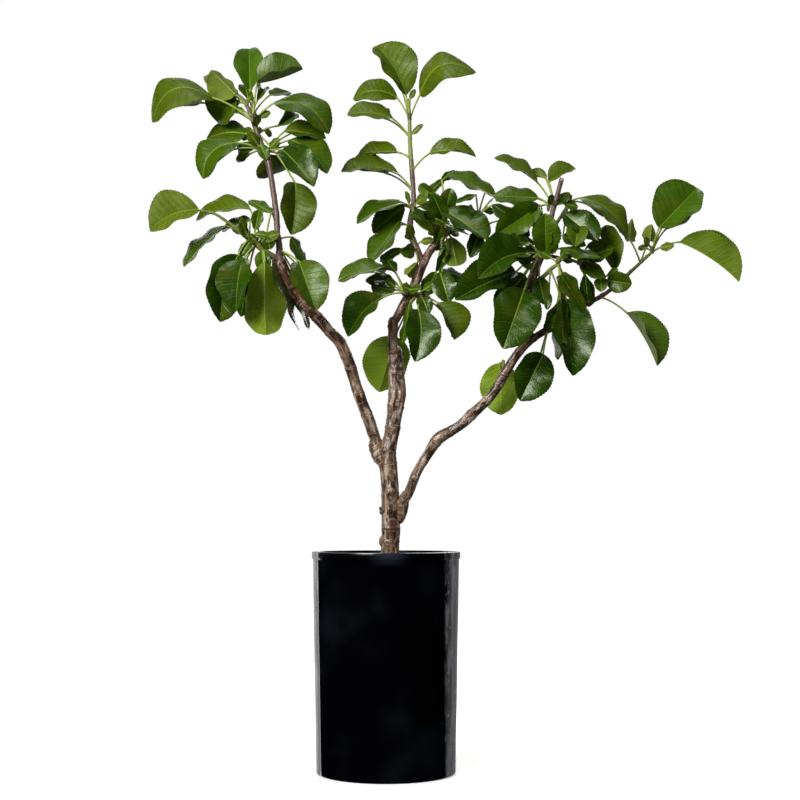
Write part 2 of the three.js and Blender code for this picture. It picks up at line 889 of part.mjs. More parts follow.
// The pot: a turned cup with a lip round its mouth and drain holes in its floor.
function potSolid() {
  const { height, topRadius, baseRadius, wall, floor, lipHeight, lipProud, bevel } = pot;
  const wallAt = (z) => THREE.MathUtils.lerp(baseRadius, topRadius, z / height);
  const profile = [
    [0, 0],
    [baseRadius - bevel, 0],
    [wallAt(bevel), bevel],
    [wallAt(height - lipHeight), height - lipHeight],
    [topRadius + lipProud, height - lipHeight + 1],
    [topRadius + lipProud, height - 0.8],
    [topRadius + lipProud - 0.8, height],
    [topRadius - wall, height],
    [wallAt(floor) - wall, floor],
    [0, floor],
  ].map(([r, z]) => new THREE.Vector2(r, z));
  const cup = new THREE.LatheGeometry(profile, pot.sides);
  cup.rotateX(Math.PI / 2);
  let made = solidFrom(cup);
  for (let i = 0; i < pot.drainHoles; i++) {
    const angle = (2 * Math.PI * (i + 0.5)) / pot.drainHoles;
    const hole = new THREE.CylinderGeometry(pot.drainRadius, pot.drainRadius, 4 * floor, 12);
    hole.rotateX(Math.PI / 2);
    hole.translate(pot.drainCircle * Math.cos(angle), pot.drainCircle * Math.sin(angle), floor / 2);
    made = made.subtract(solidFrom(hole));
  }
  return made;
}

// The soil fills the pot to just under its lip, flat round the trunk and a little lower at the wall.
function soilSolid() {
  const inner = (z) =>
    THREE.MathUtils.lerp(pot.baseRadius, pot.topRadius, z / pot.height) - pot.wall - clearance;
  const bottom = pot.floor + 0.3;
  const edge = soil.level - soil.edgeDrop;
  const profile = [
    [0, bottom],
    [inner(bottom), bottom],
    [inner(edge), edge],
    [inner(edge) - 14, edge + 0.5],
    [inner(edge) - 30, edge + 3],
    [soil.flatRadius, soil.level],
    [0, soil.level],
  ].map(([r, z]) => new THREE.Vector2(r, z));
  const plug = new THREE.LatheGeometry(profile, pot.sides);
  plug.rotateX(Math.PI / 2);
  return solidFrom(plug);
}

const looks = {
  plastic: new THREE.MeshStandardMaterial({ color: 0x0b0c0f, roughness: 0.25, metalness: 0 }),
  soil: new THREE.MeshStandardMaterial({ color: 0x2b1d14, roughness: 0.95, metalness: 0 }),
  bark: new THREE.MeshStandardMaterial({ color: 0x6b5548, roughness: 0.6, metalness: 0 }),
  leaves: new THREE.MeshStandardMaterial({ color: 0x3f6b1c, roughness: 0.35, metalness: 0 }),
};

const tree = new THREE.Group();
function addPart(name, solid, look) {
  const mesh = new THREE.Mesh(geometryFrom(solid), look);
  mesh.name = name;
  tree.add(mesh);
}

const limbSolids = {
  left_bough: [leftBoughStations],
  right_bough: [rightBoughStations],
  middle_bough: [middleBoughStations],
  right_upper_bough: [upperBoughStations],
};
const trunk = trunkSolid();
const grownLimbs = [trunkSolid(clearance)];
const cutClear = (solid) => largestPiece(grownLimbs.reduce((s, g) => s.subtract(g), solid));

addPart("pot", potSolid(), looks.plastic);
addPart("soil", soilSolid(), looks.soil);
addPart("trunk", trunk, looks.bark);
for (const [name, [stations]] of Object.entries(limbSolids)) {
  addPart(name, cutClear(limb(stations, limbSides)), looks.bark);
  grownLimbs.push(limb(stations, limbSides, 2, clearance));
}
for (const [name, pieces, stemRoom] of growSprays(grownLimbs)) {
  addPart(name, cutClear(wasm.Manifold.union(pieces)), looks.leaves);
  grownLimbs.push(...stemRoom);
}

export default tree;
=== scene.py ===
# Potted young pear tree in a tall black nursery pot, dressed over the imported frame.
# Metres. Layout values are millimetres, as seen from the front.

import math
import bpy
import numpy as np
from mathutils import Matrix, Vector


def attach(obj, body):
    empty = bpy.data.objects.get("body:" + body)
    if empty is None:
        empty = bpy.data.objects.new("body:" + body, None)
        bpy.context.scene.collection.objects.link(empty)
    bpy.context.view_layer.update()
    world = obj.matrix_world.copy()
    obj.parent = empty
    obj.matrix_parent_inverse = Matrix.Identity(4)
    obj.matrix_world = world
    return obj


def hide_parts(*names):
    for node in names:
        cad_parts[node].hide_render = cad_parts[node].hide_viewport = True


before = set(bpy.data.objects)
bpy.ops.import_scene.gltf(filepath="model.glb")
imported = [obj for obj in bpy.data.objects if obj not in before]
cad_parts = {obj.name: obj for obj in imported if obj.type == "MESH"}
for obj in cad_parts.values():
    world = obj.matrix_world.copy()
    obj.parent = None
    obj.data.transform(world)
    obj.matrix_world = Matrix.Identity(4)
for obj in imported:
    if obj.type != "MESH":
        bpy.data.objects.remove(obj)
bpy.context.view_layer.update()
scene = bpy.context.scene
scene.view_settings.view_transform = "Standard"  # keeps the white backdrop white


# Camera

cameraSet = {"place": (0.014, -1.5, 0.245), "aim": (0.014, 0, 0.369), "lens": 67.19, "sensor": 36}


def addObject(name, data):
    made = bpy.data.objects.new(name, data)
    scene.collection.objects.link(made)
    return made


def addAimed(name, data, place, aim):  # it looks down its own -Z axis, along aim - place
    made = addObject(name, data)
    made.location = place
    made.rotation_euler = (Vector(aim) - Vector(place)).to_track_quat("-Z", "Y").to_euler()
    return made


def placeCamera(s):
    made = bpy.data.cameras.new("frontCamera")
    made.lens = s["lens"]
    made.sensor_width = s["sensor"]
    scene.camera = addAimed("frontCamera", made, s["place"], s["aim"])


placeCamera(cameraSet)


# Measures

def colour(red, green, blue):  # screen values from 0 to 255, made linear
    share = np.array([red, green, blue]) / 255
    linear = np.where(share <= 0.04045, share / 12.92, ((share + 0.055) / 1.055) ** 2.4)
    return (*linear.tolist(), 1.0)


# Where the layout was drawn from. Its middle is layoutUp high, and its millimetres are true at
# the distance drawnAt.
frontView = {"distance": 1500, "right": 14, "up": 245, "aim": 369, "layoutUp": 372, "drawnAt": 1493}
eye = np.array([frontView["right"], -frontView["distance"], frontView["up"]], float)


# A layout point lies on the eye's line of sight, at its own depth:
# eye + sight * (distance + back) / sight.y, where sight = ahead * drawnAt + right and up offsets.
def placed(layout, s=frontView):
    layout = np.asarray(layout, float)
    rise = s["aim"] - s["up"]
    ahead = np.array([0, s["distance"], rise]) / math.hypot(s["distance"], rise)
    over = np.array([0, -ahead[2], ahead[1]])
    sight = ahead * s["drawnAt"]
    sight = sight + (layout[..., 0:1] - s["right"]) * np.array([1.0, 0, 0])
    sight = sight + (layout[..., 1:2] - s["layoutUp"]) * over
    return eye + sight * (s["distance"] + layout[..., 2:3]) / sight[..., 1:2]


# Centripetal Catmull-Rom curve: between two stations a cubic whose end slopes come from the
# neighbours, each span weighted by the square root of its length. Shares run from 0 to 1.
def curveThrough(points, shares):
    points = np.asarray(points, float)
    before = 2 * points[0] - points[1]
    after = 2 * points[-1] - points[-2]
    ring = np.vstack([before, points, after])
    spans = np.maximum(np.linalg.norm(np.diff(ring, axis=0), axis=1) ** 0.5, 1e-4)
    where = np.clip(shares, 0, 1) * (len(points) - 1)
    place = np.minimum(where.astype(int), len(points) - 2)
    w = (where - place)[:, None]
    a, b, c, d = ring[place], ring[place + 1], ring[place + 2], ring[place + 3]
    x, y, z = (spans[place + k][:, None] for k in range(3))
    slopeB = ((b - a) / x - (c - a) / (x + y) + (c - b) / y) * y
    slopeC = ((c - b) / y - (d - b) / (y + z) + (d - c) / z) * y
    cubic = 2 * b - 2 * c + slopeB + slopeC
    return b + slopeB * w + (-3 * b + 3 * c - 2 * slopeB - slopeC) * w ** 2 + cubic * w ** 3


def unit(vectors):
    return vectors / np.linalg.norm(vectors, axis=-1, keepdims=True)


# Smooth lattice noise on a square that repeats every 64 cells: corner values blended by
# s = f * f * (3 - 2 f), from -1 to 1. Columns repeat every so many cells, for use round a limb.
def roughness(seed, down, around, columns=64):
    table = np.random.default_rng(seed).uniform(-1, 1, (64, 64))
    r0, c0 = np.floor(down).astype(int), np.floor(around).astype(int)
    fr, fc = down - r0, around - c0
    fr, fc = fr * fr * (3 - 2 * fr), fc * fc * (3 - 2 * fc)
    r1, c1 = (r0 + 1) % 64, (c0 + 1) % columns
    r0, c0 = r0 % 64, c0 % columns
    top = table[r0, c0] * (1 - fc) + table[r0, c1] * fc
    low = table[r1, c0] * (1 - fc) + table[r1, c1] * fc
    return top * (1 - fr) + low * fr


# Grids of rings

def together(*parts):  # values side by side, as places or pairs
    return np.stack(np.broadcast_arrays(*parts), -1)


def turns(count):  # even turns round a circle
    return np.linspace(0, 2 * math.pi, count, endpoint=False)


# Rings about the upright axis: place = (r cos a, r sin a, z).
def onCircles(r, turn, z):
    return together(r * np.cos(turn), r * np.sin(turn), z)


# Rings carried along a line: place = line + r (across cos a + over sin a).
def carried(line, across, over, radius, turn):
    ring = across[..., None, :] * np.cos(turn)[:, None] + over[..., None, :] * np.sin(turn)[:, None]
    return line[:, None] + ring * radius[..., None]


def withMiddles(grid):  # the places of a grid, then the middles of its first and last ring
    return np.vstack([grid.reshape(-1, 3), grid[0].mean(0), grid[-1].mean(0)])


# Marks for a skin: each is its values over the grid of rings, and at the two middles.
def marked(grid, *marks):
    size = grid.shape[:2]
    return together(*(np.append(np.broadcast_to(values, size), ends) for values, ends in marks))


# A grid of rings, each ring closed on itself, with a fan over both ends.
# Returns places, quads, triangles, and the bake map's (round, along) for each corner.
def skinned(grid):
    rows, around = grid.shape[:2]
    i, j = np.meshgrid(np.arange(rows - 1), np.arange(around), indexing="ij")
    k = (j + 1) % around
    quads = together(i * around + j, i * around + k, (i + 1) * around + k, (i + 1) * around + j)
    ring = np.arange(around)
    after = (ring + 1) % around
    first, last, end = rows * around, rows * around + 1, rows - 1
    low = together(after, ring, first)
    high = together(end * around + ring, end * around + after, last)

    def chart(*corners):
        return np.stack([together(*corner) for corner in corners], -2) / np.array([around, end], float)

    lowChart = chart((ring + 1, 0), (ring, 0), (ring + 0.5, 0))
    highChart = chart((ring, end), (ring + 1, end), (ring + 0.5, end))
    return {
        "places": withMiddles(grid),
        "quads": quads.reshape(-1, 4),
        "triangles": np.vstack([low, high]),
        "mapQuads": chart((j, i), (j + 1, i), (j + 1, i + 1), (j, i + 1)).reshape(-1, 4, 2),
        "mapTriangles": np.concatenate([lowChart, highChart]),
    }


# The volume under a skin is a sixth of the sum of a . (b x c) over its triangles. A negative one
# is inside out, and its faces are turned.
def outward(skin):
    q = skin["quads"]
    corners = np.vstack([q[:, [0, 1, 2]], q[:, [0, 2, 3]], skin["triangles"]])
    a, b, c = (skin["places"][corners[:, n]] for n in range(3))
    if np.einsum("ij,ij->i", a, np.cross(b, c)).sum() < 0:
        for key in ("quads", "triangles", "mapQuads", "mapTriangles"):
            skin[key] = skin[key][:, ::-1]
    return skin


# Joins skins into one mesh. The bake map gives each skin its own square of a chequer.
def makePiece(name, skins, finish, nodes, marks=(), sharp=None, bakeMap=True):
    across = math.ceil(math.sqrt(len(skins)))
    down = math.ceil(len(skins) / across)
    gap = 0.04 if len(skins) > 1 else 0.0
    loops, starts, maps = [], [], []
    count = begun = 0
    for n, skin in enumerate(skins):
        corner = np.array([n % across, n // across])
        for kind, chart in (("quads", "mapQuads"), ("triangles", "mapTriangles")):
            faces = skin[kind] + count
            loops.append(faces.ravel())
            starts.append(begun + faces.shape[1] * np.arange(len(faces)))
            begun += faces.size
            inside = gap + (1 - 2 * gap) * skin[chart].reshape(-1, 2)
            maps.append((corner + inside) / [across, down])
        count += len(skin["places"])
    places = np.vstack([skin["places"] for skin in skins]) / 1000
    loops, starts = np.concatenate(loops), np.concatenate(starts)
    mesh = bpy.data.meshes.new(name)
    mesh.vertices.add(len(places))
    mesh.vertices.foreach_set("co", places.ravel())
    mesh.loops.add(len(loops))
    mesh.loops.foreach_set("vertex_index", loops)
    mesh.polygons.add(len(starts))
    mesh.polygons.foreach_set("loop_start", starts)
    mesh.update(calc_edges=True)
    if bakeMap:
        mesh.uv_layers.new(name="OFBake").uv.foreach_set("vector", np.vstack(maps).ravel())
    for mark in marks:
        values = np.vstack([skin[mark] for skin in skins])
        kind, key = ("FLOAT_COLOR", "color") if values.shape[1] == 4 else ("FLOAT_VECTOR", "vector")
        mesh.attributes.new(mark, kind, "POINT").data.foreach_set(key, values.ravel())
    mesh.shade_smooth()
    if sharp:
        mesh.set_sharp_from_angle(angle=math.radians(sharp))
    mesh.materials.append(finish)
    piece = addObject(name, mesh)
    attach(piece, "root")
    if nodes:
        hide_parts(*nodes)
    triangles = sum(2 * len(s["quads"]) + len(s["triangles"]) for s in skins)
    print(f"{name}: {triangles} triangles")
    return piece


# Shader wiring

class Wire:  # a value on its way through a material's nodes
    def __init__(self, tree, socket=None):
        self.tree = tree
        self.socket = socket

    def node(self, kind, settings=None, sockets=None, out=0):
        made = self.tree.nodes.new(kind)
        for name, value in (settings or {}).items():
            setattr(made, name, value)
        for key, value in (sockets or {}).items():
            if isinstance(value, Wire):
                self.tree.links.new(value.socket, made.inputs[key])
            else:
                made.inputs[key].default_value = value
        return Wire(self.tree, made.outputs[out] if len(made.outputs) else None)

    def maths(self, operation, *values):
        return self.node("ShaderNodeMath", {"operation": operation}, dict(enumerate(values)))

    def __abs__(self):
        return self.maths("ABSOLUTE", self)

    def __add__(self, other):
        return self.maths("ADD", self, other)

    def __radd__(self, other):
        return self.maths("ADD", other, self)

    def __sub__(self, other):
        return self.maths("SUBTRACT", self, other)

    def __rsub__(self, other):
        return self.maths("SUBTRACT", other, self)

    def __mul__(self, other):
        return self.maths("MULTIPLY", self, other)

    def __rmul__(self, other):
        return self.maths("MULTIPLY", other, self)

    def __truediv__(self, other):
        return self.maths("DIVIDE", self, other)

    def parts(self, count=3):  # the first parts of a vector
        return (self.node("ShaderNodeSeparateXYZ", {}, {0: self}, n) for n in range(count))


def blend(amount, first, second):  # between two colours
    return amount.node("ShaderNodeMix", {"data_type": "RGBA"}, {0: amount, 6: first, 7: second}, 2)


def layered(tint, *coats):  # colours laid over a first one, each by its own amount
    for amount, over in coats:
        tint = blend(amount, tint, over)
    return tint


def band(value, low, high):  # 0 below low, 1 above high, smooth between; low may be the greater
    settings = {"interpolation_type": "SMOOTHSTEP", "clamp": True}
    ends = {"From Min": low, "From Max": high, "To Min": 0.0, "To Max": 1.0}
    return value.node("ShaderNodeMapRange", settings, {"Value": value, **ends})


def onPiece(start):  # places in the piece's own axes
    return start.node("ShaderNodeTexCoord", out="Object")


def markOf(start, name, out="Vector"):
    return start.node("ShaderNodeAttribute", {"attribute_name": name}, out=out)


def grain(start, scale, detail=None, stretch=(1, 1, 1), where=None):  # noise, or cells with no detail
    where = start.node("ShaderNodeMapping", {}, {"Vector": where or onPiece(start), "Scale": stretch})
    sockets = {"Vector": where, "Scale": scale}
    if detail is None:
        return start.node("ShaderNodeTexVoronoi", {}, sockets)
    return start.node("ShaderNodeTexNoise", {}, {**sockets, "Detail": detail})


def newFinish(name):
    made = bpy.data.materials.new(name)
    made.use_nodes = True
    made.node_tree.nodes.clear()
    return made, Wire(made.node_tree)


def close(start, sockets, height=None, distance=0.001, strength=1.0):
    if height:
        bump = {"Height": height, "Distance": distance, "Strength": strength}
        sockets["Normal"] = start.node("ShaderNodeBump", {}, bump)
    surface = start.node("ShaderNodeBsdfPrincipled", {}, sockets)
    start.node("ShaderNodeOutputMaterial", {}, {"Surface": surface})


# Pot

potSet = {"height": 217, "topRadius": 73.5, "baseRadius": 69, "wall": 1.8, "floor": 2.4,
          "lipHeight": 7, "lipProud": 0.85, "bevel": 2,
          "wobble": 0.22, "wobbleEvery": 34, "wobbleRound": 9,
          "seamAt": -65, "seamWidth": 1.3, "seamProud": 0.35, "seamFrom": 4,
          "around": 240, "flatRings": 14, "bevelRings": 7, "wallRings": 46, "innerRings": 24,
          "holes": 6, "holeRadius": 5, "holeCircle": 46, "holeSides": 28, "plug": (-6, 8)}


def potRadius(z, s=potSet):  # outside, at a height
    return s["baseRadius"] + (s["topRadius"] - s["baseRadius"]) * z / s["height"]


# The pot is a profile turned about the axis: place = (r cos a, r sin a, z). The wall wanders a
# little in and out, r + wobble * (roughness - 0.8), and a moulded seam stands out by a bell curve.
def potSkin(s):
    top, lipFoot = s["height"], s["height"] - s["lipHeight"]
    lip, mouth = s["topRadius"] + s["lipProud"], s["topRadius"] - s["wall"]
    foot = potRadius(s["bevel"]) - s["bevel"]
    bevel = np.linspace(0, math.pi / 2, s["bevelRings"])
    outer = np.linspace(s["bevel"] + 1.5, lipFoot - 0.6, s["wallRings"])
    inner = np.linspace(top - 3, s["floor"] + 1.2, s["innerRings"])
    r, z = np.vstack([
        together(np.linspace(2, foot - 2, s["flatRings"]), 0),
        together(foot + s["bevel"] * np.sin(bevel), s["bevel"] * (1 - np.cos(bevel))),
        together(potRadius(outer), outer),
        [[lip - 0.4, lipFoot + 0.2], [lip, lipFoot + 1], [lip, top - 1.3], [lip - 0.25, top - 0.4],
         [lip - 0.9, top - 0.05], [mouth + 0.5, top - 0.05], [mouth, top - 0.6]],
        together(potRadius(inner) - s["wall"], inner),
        [[potRadius(s["floor"]) - s["wall"] - 0.6, s["floor"]]],
        together(np.linspace(60, 2, s["flatRings"]), s["floor"])]).T
    turn = turns(s["around"])
    isWall = (z > s["bevel"]) & (r > s["baseRadius"] - 3)
    columns = s["wobbleRound"]
    drift = roughness(5, (z / s["wobbleEvery"])[:, None], turn / (2 * math.pi) * columns, columns)
    fromSeam = (np.degrees(turn) - (s["seamAt"] - 90) + 180) % 360 - 180
    seam = np.exp(-(fromSeam * math.pi / 180 * s["topRadius"] / s["seamWidth"]) ** 2)
    isOutside = np.arange(len(z)) < s["flatRings"] + s["bevelRings"] + s["wallRings"]
    hasSeam = isOutside & (z > s["seamFrom"]) & (z < lipFoot)
    radius = r[:, None] + isWall[:, None] * s["wobble"] * (drift - 0.8)
    radius = radius + hasSeam[:, None] * s["seamProud"] * seam
    return outward(skinned(onCircles(radius, turn, z[:, None])))


# Drain holes are cut with round plugs: place = centre + radius * (cos a, sin a), from below to above.
def plugSkins(s):
    for n in range(s["holes"]):
        angle = 2 * math.pi * (n + 0.5) / s["holes"]
        centre = s["holeCircle"] * np.array([math.cos(angle), math.sin(angle), 0])
        height = np.array(s["plug"])[:, None]
        yield outward(skinned(centre + onCircles(s["holeRadius"], turns(s["holeSides"]), height)))


def plasticFinish():
    made, start = newFinish("blackPlastic")
    x, _, z = onPiece(start).parts()
    rubbedAndSheenRight = band(x, 0.056, 0.06)  # the right side is rubbed and scratched, and its reflection band is painted paler
    # worn covers both side strips where the reflection bands fall: real scuffs and scratches, with a grey
    # lift that is painted reflection
    worn = rubbedAndSheenRight + band(x, -0.066, -0.067)
    cloud = band(grain(start, 13, 3), 0.45, 0.75)
    scuffs = band(grain(start, 90, 6, (1, 1, 0.3)), 0.44, 0.64) * worn
    cross = band(grain(start, 190, 3, (1.6, 1.6, 0.7)), 0.62, 0.67) * worn
    # painted reflection: a faint bluish-grey cloud just under the rim, in the middle of the front
    paintedReflectionCloud = band(z, 0.203, 0.214) * band(abs(x - 0.004), 0.024, 0.0)
    # painted reflection: a thin pale upright line down the middle of the right reflection band
    streak = band(abs(x - 0.0655), 0.0022, 0.0006) * band(z, 0.03, 0.06)
    paleScratchAndReflection = colour(200, 200, 212)
    tint = layered(
        blend(cloud, colour(3, 3, 5), colour(15, 18, 24)), (paintedReflectionCloud * 0.8, colour(38, 44, 54)),
        # painted reflection: the side strips lifted to grey, and pale scuffs that are partly real scratches
        # and partly painted reflection
        (worn * 0.14, colour(88, 90, 98)), (scuffs * 0.4 + cross * 0.4, paleScratchAndReflection),
        (streak * 0.25, paleScratchAndReflection))
    dull = 0.05 + 0.1 * rubbedAndSheenRight + scuffs * 0.22 + 0.14 * band(z, 0.209, 0.2105)
    waves = grain(start, 17, 2, (1, 1, 0.45)) + grain(start, 60, 3, (1, 1, 0.2)) * 0.22
    close(start, {"Base Color": tint, "Roughness": dull, "IOR": 1.5}, waves, 0.0018, 0.35)
    return made


# The plugs are taken out of the pot, and the cut mesh is kept.
def drilled(pot, plugs):
    cut = pot.modifiers.new("drains", "BOOLEAN")
    cut.operation, cut.solver, cut.object = "DIFFERENCE", "EXACT", plugs
    bpy.context.view_layer.update()
    drained = bpy.data.meshes.new_from_object(pot.evaluated_get(bpy.context.evaluated_depsgraph_get()))
    pot.modifiers.clear()
    pot.data = drained
    bpy.data.objects.remove(plugs)


plastic = plasticFinish()
pot = makePiece("nurseryPot", [potSkin(potSet)], plastic, ["pot"], sharp=38, bakeMap=False)
drilled(pot, makePiece("drainPlugs", list(plugSkins(potSet)), plastic, [], bakeMap=False))


# Soil

soilSet = {"level": 203, "settled": 0.9, "edgeDrop": 4, "flatRadius": 22, "edgeRadius": 71,
           "clearance": 0.35, "aboveFloor": 0.4, "lump": 1.1, "underRadii": (40, 4),
           "rings": 60, "around": 120, "wallRings": 12}


# Height of the soil: level by the trunk, sinking to the wall by the distance to the power 0.8,
# with two sizes of lumps.
def soilHeight(r, x, y, s=soilSet):
    sink = np.clip((r - s["flatRadius"]) / (s["edgeRadius"] - s["flatRadius"]), 0, 1)
    lumps = roughness(11, x / 5 + 20, y / 5 + 20) * 0.6 + roughness(12, x / 2.1 + 20, y / 2.1 + 20) * 0.4
    return s["level"] - s["settled"] - s["edgeDrop"] * sink ** 0.8 + s["lump"] * lumps


# The soil fills the pot: a lumpy top over (r, a), then its wall down to a flat underside.
def soilSkin(s):
    def wallAt(z):
        return potRadius(z) - potSet["wall"] - s["clearance"]

    edge, foot = s["level"] - s["edgeDrop"], potSet["floor"] + s["aboveFloor"]
    turn = turns(s["around"])
    r = np.linspace(1, wallAt(edge) - 0.3, s["rings"])[:, None]
    x, y = r * np.cos(turn), r * np.sin(turn)
    z = np.linspace(edge - 4, foot, s["wallRings"])[:, None]
    under = np.array(s["underRadii"])[:, None]
    return outward(skinned(np.concatenate([
        together(x, y, soilHeight(r, x, y)), onCircles(wallAt(z), turn, z), onCircles(under, turn, foot)])))


chipSet = {"bands": 5, "sides": 7, "nearest": 20, "furthest": 66, "tilt": 0.35, "sizes": (0.6, 1.3),
           "squash": (0.75, 1.25), "rough": 0.22, "sunk": 0.25}


# Chips: a ball of rings, squashed, roughened and turned, one for each place strewn on the soil.
def chipSkins(seed, count, size, squash, s=chipSet):
    random = np.random.default_rng(seed)
    lift = np.linspace(-1, 1, s["bands"])[:, None] * 0.93
    ball = onCircles(np.sqrt(1 - lift ** 2), turns(s["sides"]), lift)
    for _ in range(count):
        r = math.sqrt(random.uniform(s["nearest"] ** 2, s["furthest"] ** 2))
        angle = random.uniform(0, 2 * math.pi)
        axes = np.linalg.qr(np.eye(3) + random.normal(0, s["tilt"], (3, 3)))[0]
        half = size * random.uniform(*s["sizes"]) * np.array(squash) * random.uniform(*s["squash"], 3)
        cos, sin = math.cos(angle * 5), math.sin(angle * 5)
        spin = np.array([[cos, -sin, 0], [sin, cos, 0], [0, 0, 1]])
        shape = ball * (1 + random.uniform(-s["rough"], s["rough"], ball.shape[:2])[..., None]) * half
        x, y = r * math.cos(angle), r * math.sin(angle)
        place = [x, y, soilHeight(np.array(r), np.array(x), np.array(y)) + s["sunk"] * half[2]]
        yield outward(skinned(shape @ axes @ spin.T + place))


def soilFinish(name, dark, light, scale, dull):
    made, start = newFinish(name)
    crumbs = grain(start, scale, 8)
    flecks = grain(start, scale * 2.2)
    tint = blend(band(crumbs, 0.32, 0.68), dark, light)
    surface = {"Base Color": tint, "Roughness": dull - 0.1 * flecks}
    close(start, surface, crumbs * 0.7 + flecks * 0.3, 0.002, 0.8)
    return made


peat = soilFinish("dampPeat", colour(30, 20, 14), colour(66, 47, 34), 260, 0.97)
chipBark = soilFinish("chippedBark", colour(58, 38, 26), colour(112, 80, 56), 320, 0.9)
perlite = soilFinish("perlite", colour(176, 172, 162), colour(226, 223, 214), 420, 0.92)
bits = list(chipSkins(21, 300, 2.6, (1.3, 0.8, 0.42)))  # bark
bits += list(chipSkins(23, 46, 2.0, (3.2, 0.35, 0.35)))  # twigs
makePiece("pottingSoil", [soilSkin(soilSet)], peat, ["soil"])
makePiece("soilChips", bits, chipBark, [])
makePiece("soilPerlite", list(chipSkins(22, 90, 1.25, (1, 1, 0.8))), perlite, [])


# Wood

def stationLength(stations):
    return np.linalg.norm(np.diff(placed(np.array(stations)[:, :3]), axis=0), axis=1).sum()


# A limb is a round section carried along a curve: centre(t) + r(t, a) * (across cos a + over sin a).
# across is the depth axis made square to the limb. Relief in millimetres is added to r. The same
# places on a straightened limb carry the bark's pattern. Returns the grid, the marks of rings and
# scars, the share of the length at each ring, and the straightened limb.
def limbRings(stations, rows, around, relief):
    stations = np.asarray(stations, float)
    shares = np.linspace(0, 1, rows)
    centre = curveThrough(placed(stations[:, :3]), shares)
    along = unit(np.gradient(centre, axis=0))
    depth = np.array([0, 1.0, 0])
    across = unit(depth - (along @ depth)[:, None] * along)
    radius = np.interp(shares * (len(stations) - 1), np.arange(len(stations)), stations[:, 3])[:, None]
    length = np.concatenate([[0], np.cumsum(np.linalg.norm(np.diff(centre, axis=0), axis=1))])
    turn = turns(around)
    bump, mark = relief(length[:, None], turn, radius)
    grid = carried(centre, across, np.cross(along, across), radius + bump, turn)
    return grid, mark, length / length[-1], onCircles(radius, turn, length[:, None])


# Bark relief: long shallow furrows, short cracks and fine grit, less of them on a thin limb, a ring
# every so often as a bell curve along the limb, and single scars as bell curves both ways.
def barkRelief(s, seed, length):
    random = np.random.default_rng(seed)
    rings = np.arange(6, length, s["ringStep"])
    rings = rings + random.uniform(-0.3, 0.3, len(rings)) * s["ringStep"]
    scars = list(s["scars"])
    for _ in range(int(length / s["knotStep"])):
        at, where = random.uniform(4, length - 4), random.uniform(0, 2 * math.pi)
        scars.append((at, where, s["knotSize"], s["knotSize"], s["knotProud"]))

    def relief(down, turn, radius):
        columns, fullness = s["columns"], radius / s["fullRadius"]
        spin = turn / (2 * math.pi) * columns
        bump = s["furrow"] * roughness(seed + 1, down / s["furrowEvery"], spin, columns)
        bump = bump + s["crack"] * roughness(seed + 2, down / s["crackEvery"], spin * 2, columns * 2)
        bump = bump + s["grit"] * roughness(seed + 3, down / s["gritEvery"], spin * 5, columns * 5)
        bump = bump * np.clip(fullness, 0.35, 1.2)
        mark = 0 * bump
        for at in rings:
            tilt = at + 0.9 * np.cos(turn + at)
            bell = np.exp(-((down - tilt) / s["ringWidth"]) ** 2)
            bump = bump + s["ringProud"] * np.clip(fullness, 0.4, 1.2) * bell
            mark = np.maximum(mark, 0.7 * np.exp(-((down - tilt - 1.1) / 0.8) ** 2))
        for at, where, high, wide, proud in scars:
            off = (turn - where + math.pi) % (2 * math.pi) - math.pi
            bell = np.exp(-(((down - at) / high) ** 2 + (off * radius / wide) ** 2))
            bump = bump + proud * bell
            mark = np.maximum(mark, bell)
        return bump, mark

    return relief


barkSet = {"ringStep": 21, "ringWidth": 1.3, "ringProud": 0.45, "columns": 12, "fullRadius": 6,
           "furrow": 0.24, "furrowEvery": 9, "crack": 0.12, "crackEvery": 3.4, "grit": 0.1, "gritEvery": 0.9,
           "knotStep": 46, "knotSize": 1.8, "knotProud": 0.8, "scars": []}
# A limb's stations: right, up, back, radius
trunkStations = [
    [4.5, 200, 0, 16], [4.5, 207, 0, 13.6], [4.5, 212, 0, 11], [4, 219, 0, 9.3], [4, 229, 0, 8.9],
    [5, 241, 0, 9.5], [4.5, 254, 0, 9], [4, 283, 0, 8.8], [2, 307, 0, 8.8], [1, 320, 0, 9.2],
    [4.7, 334, 0, 7.6], [7.7, 352, 0, 7.6], [10, 369, 0, 8.8], [11.2, 377, 0, 9], [10.5, 394, 0, 8.1],
    [9.6, 412, 0, 7.3], [8.4, 421, 0, 7], [6.8, 425, 0, 5.2], [6.8, 438, 0, 4.9], [7.2, 450, 0, 5.3],
    [7.4, 454.5, 0, 3.6]]
leftBoughStations = [
    [-3, 317, 0, 5], [-11, 334, -2, 5.6], [-17, 351, -5, 6], [-27.5, 379, -10, 5.7], [-38.5, 413, -17, 5.6],
    [-47, 431, -21, 6.2], [-56, 440, -23, 5.6], [-67, 453, -27, 6], [-86, 472, -32, 5.5],
    [-96, 490, -36, 5.8], [-105, 508, -39, 6.2], [-108, 515, -40, 5.2]]
rightBoughStations = [
    [14, 268, -4, 4.2], [21, 276, -7, 4.8], [31, 300, -10, 4.6], [42, 318, -12, 4.9], [52, 333, -14, 6],
    [65, 341, -16, 5.2], [77, 349, -18, 5], [85, 357, -19, 5.6], [94, 365, -20, 4.9], [107, 379, -22, 4.7],
    [117.5, 396, -23, 4.9], [128, 413.5, -24, 4.4], [139, 427, -24, 4.3], [152, 437, -20, 3.8],
    [164, 443.5, -15, 3.7], [186, 458, -4, 3], [200, 469, 2, 3.6]]
middleBoughStations = [
    [8, 450, 0, 4], [14, 460, 1, 4.6], [18, 468, 2, 4.8], [26, 481, 4, 5.1], [32, 496, 6, 4.8],
    [40, 514, 8, 4.2], [47, 525, 8, 4], [55, 533, 7, 3.6]]
upperBoughStations = [
    [139, 426, -24, 3.6], [144, 446, -27, 4.2], [147, 472, -28, 4.4], [146, 488, -27, 4.6],
    [147, 497, -27, 4.6]]
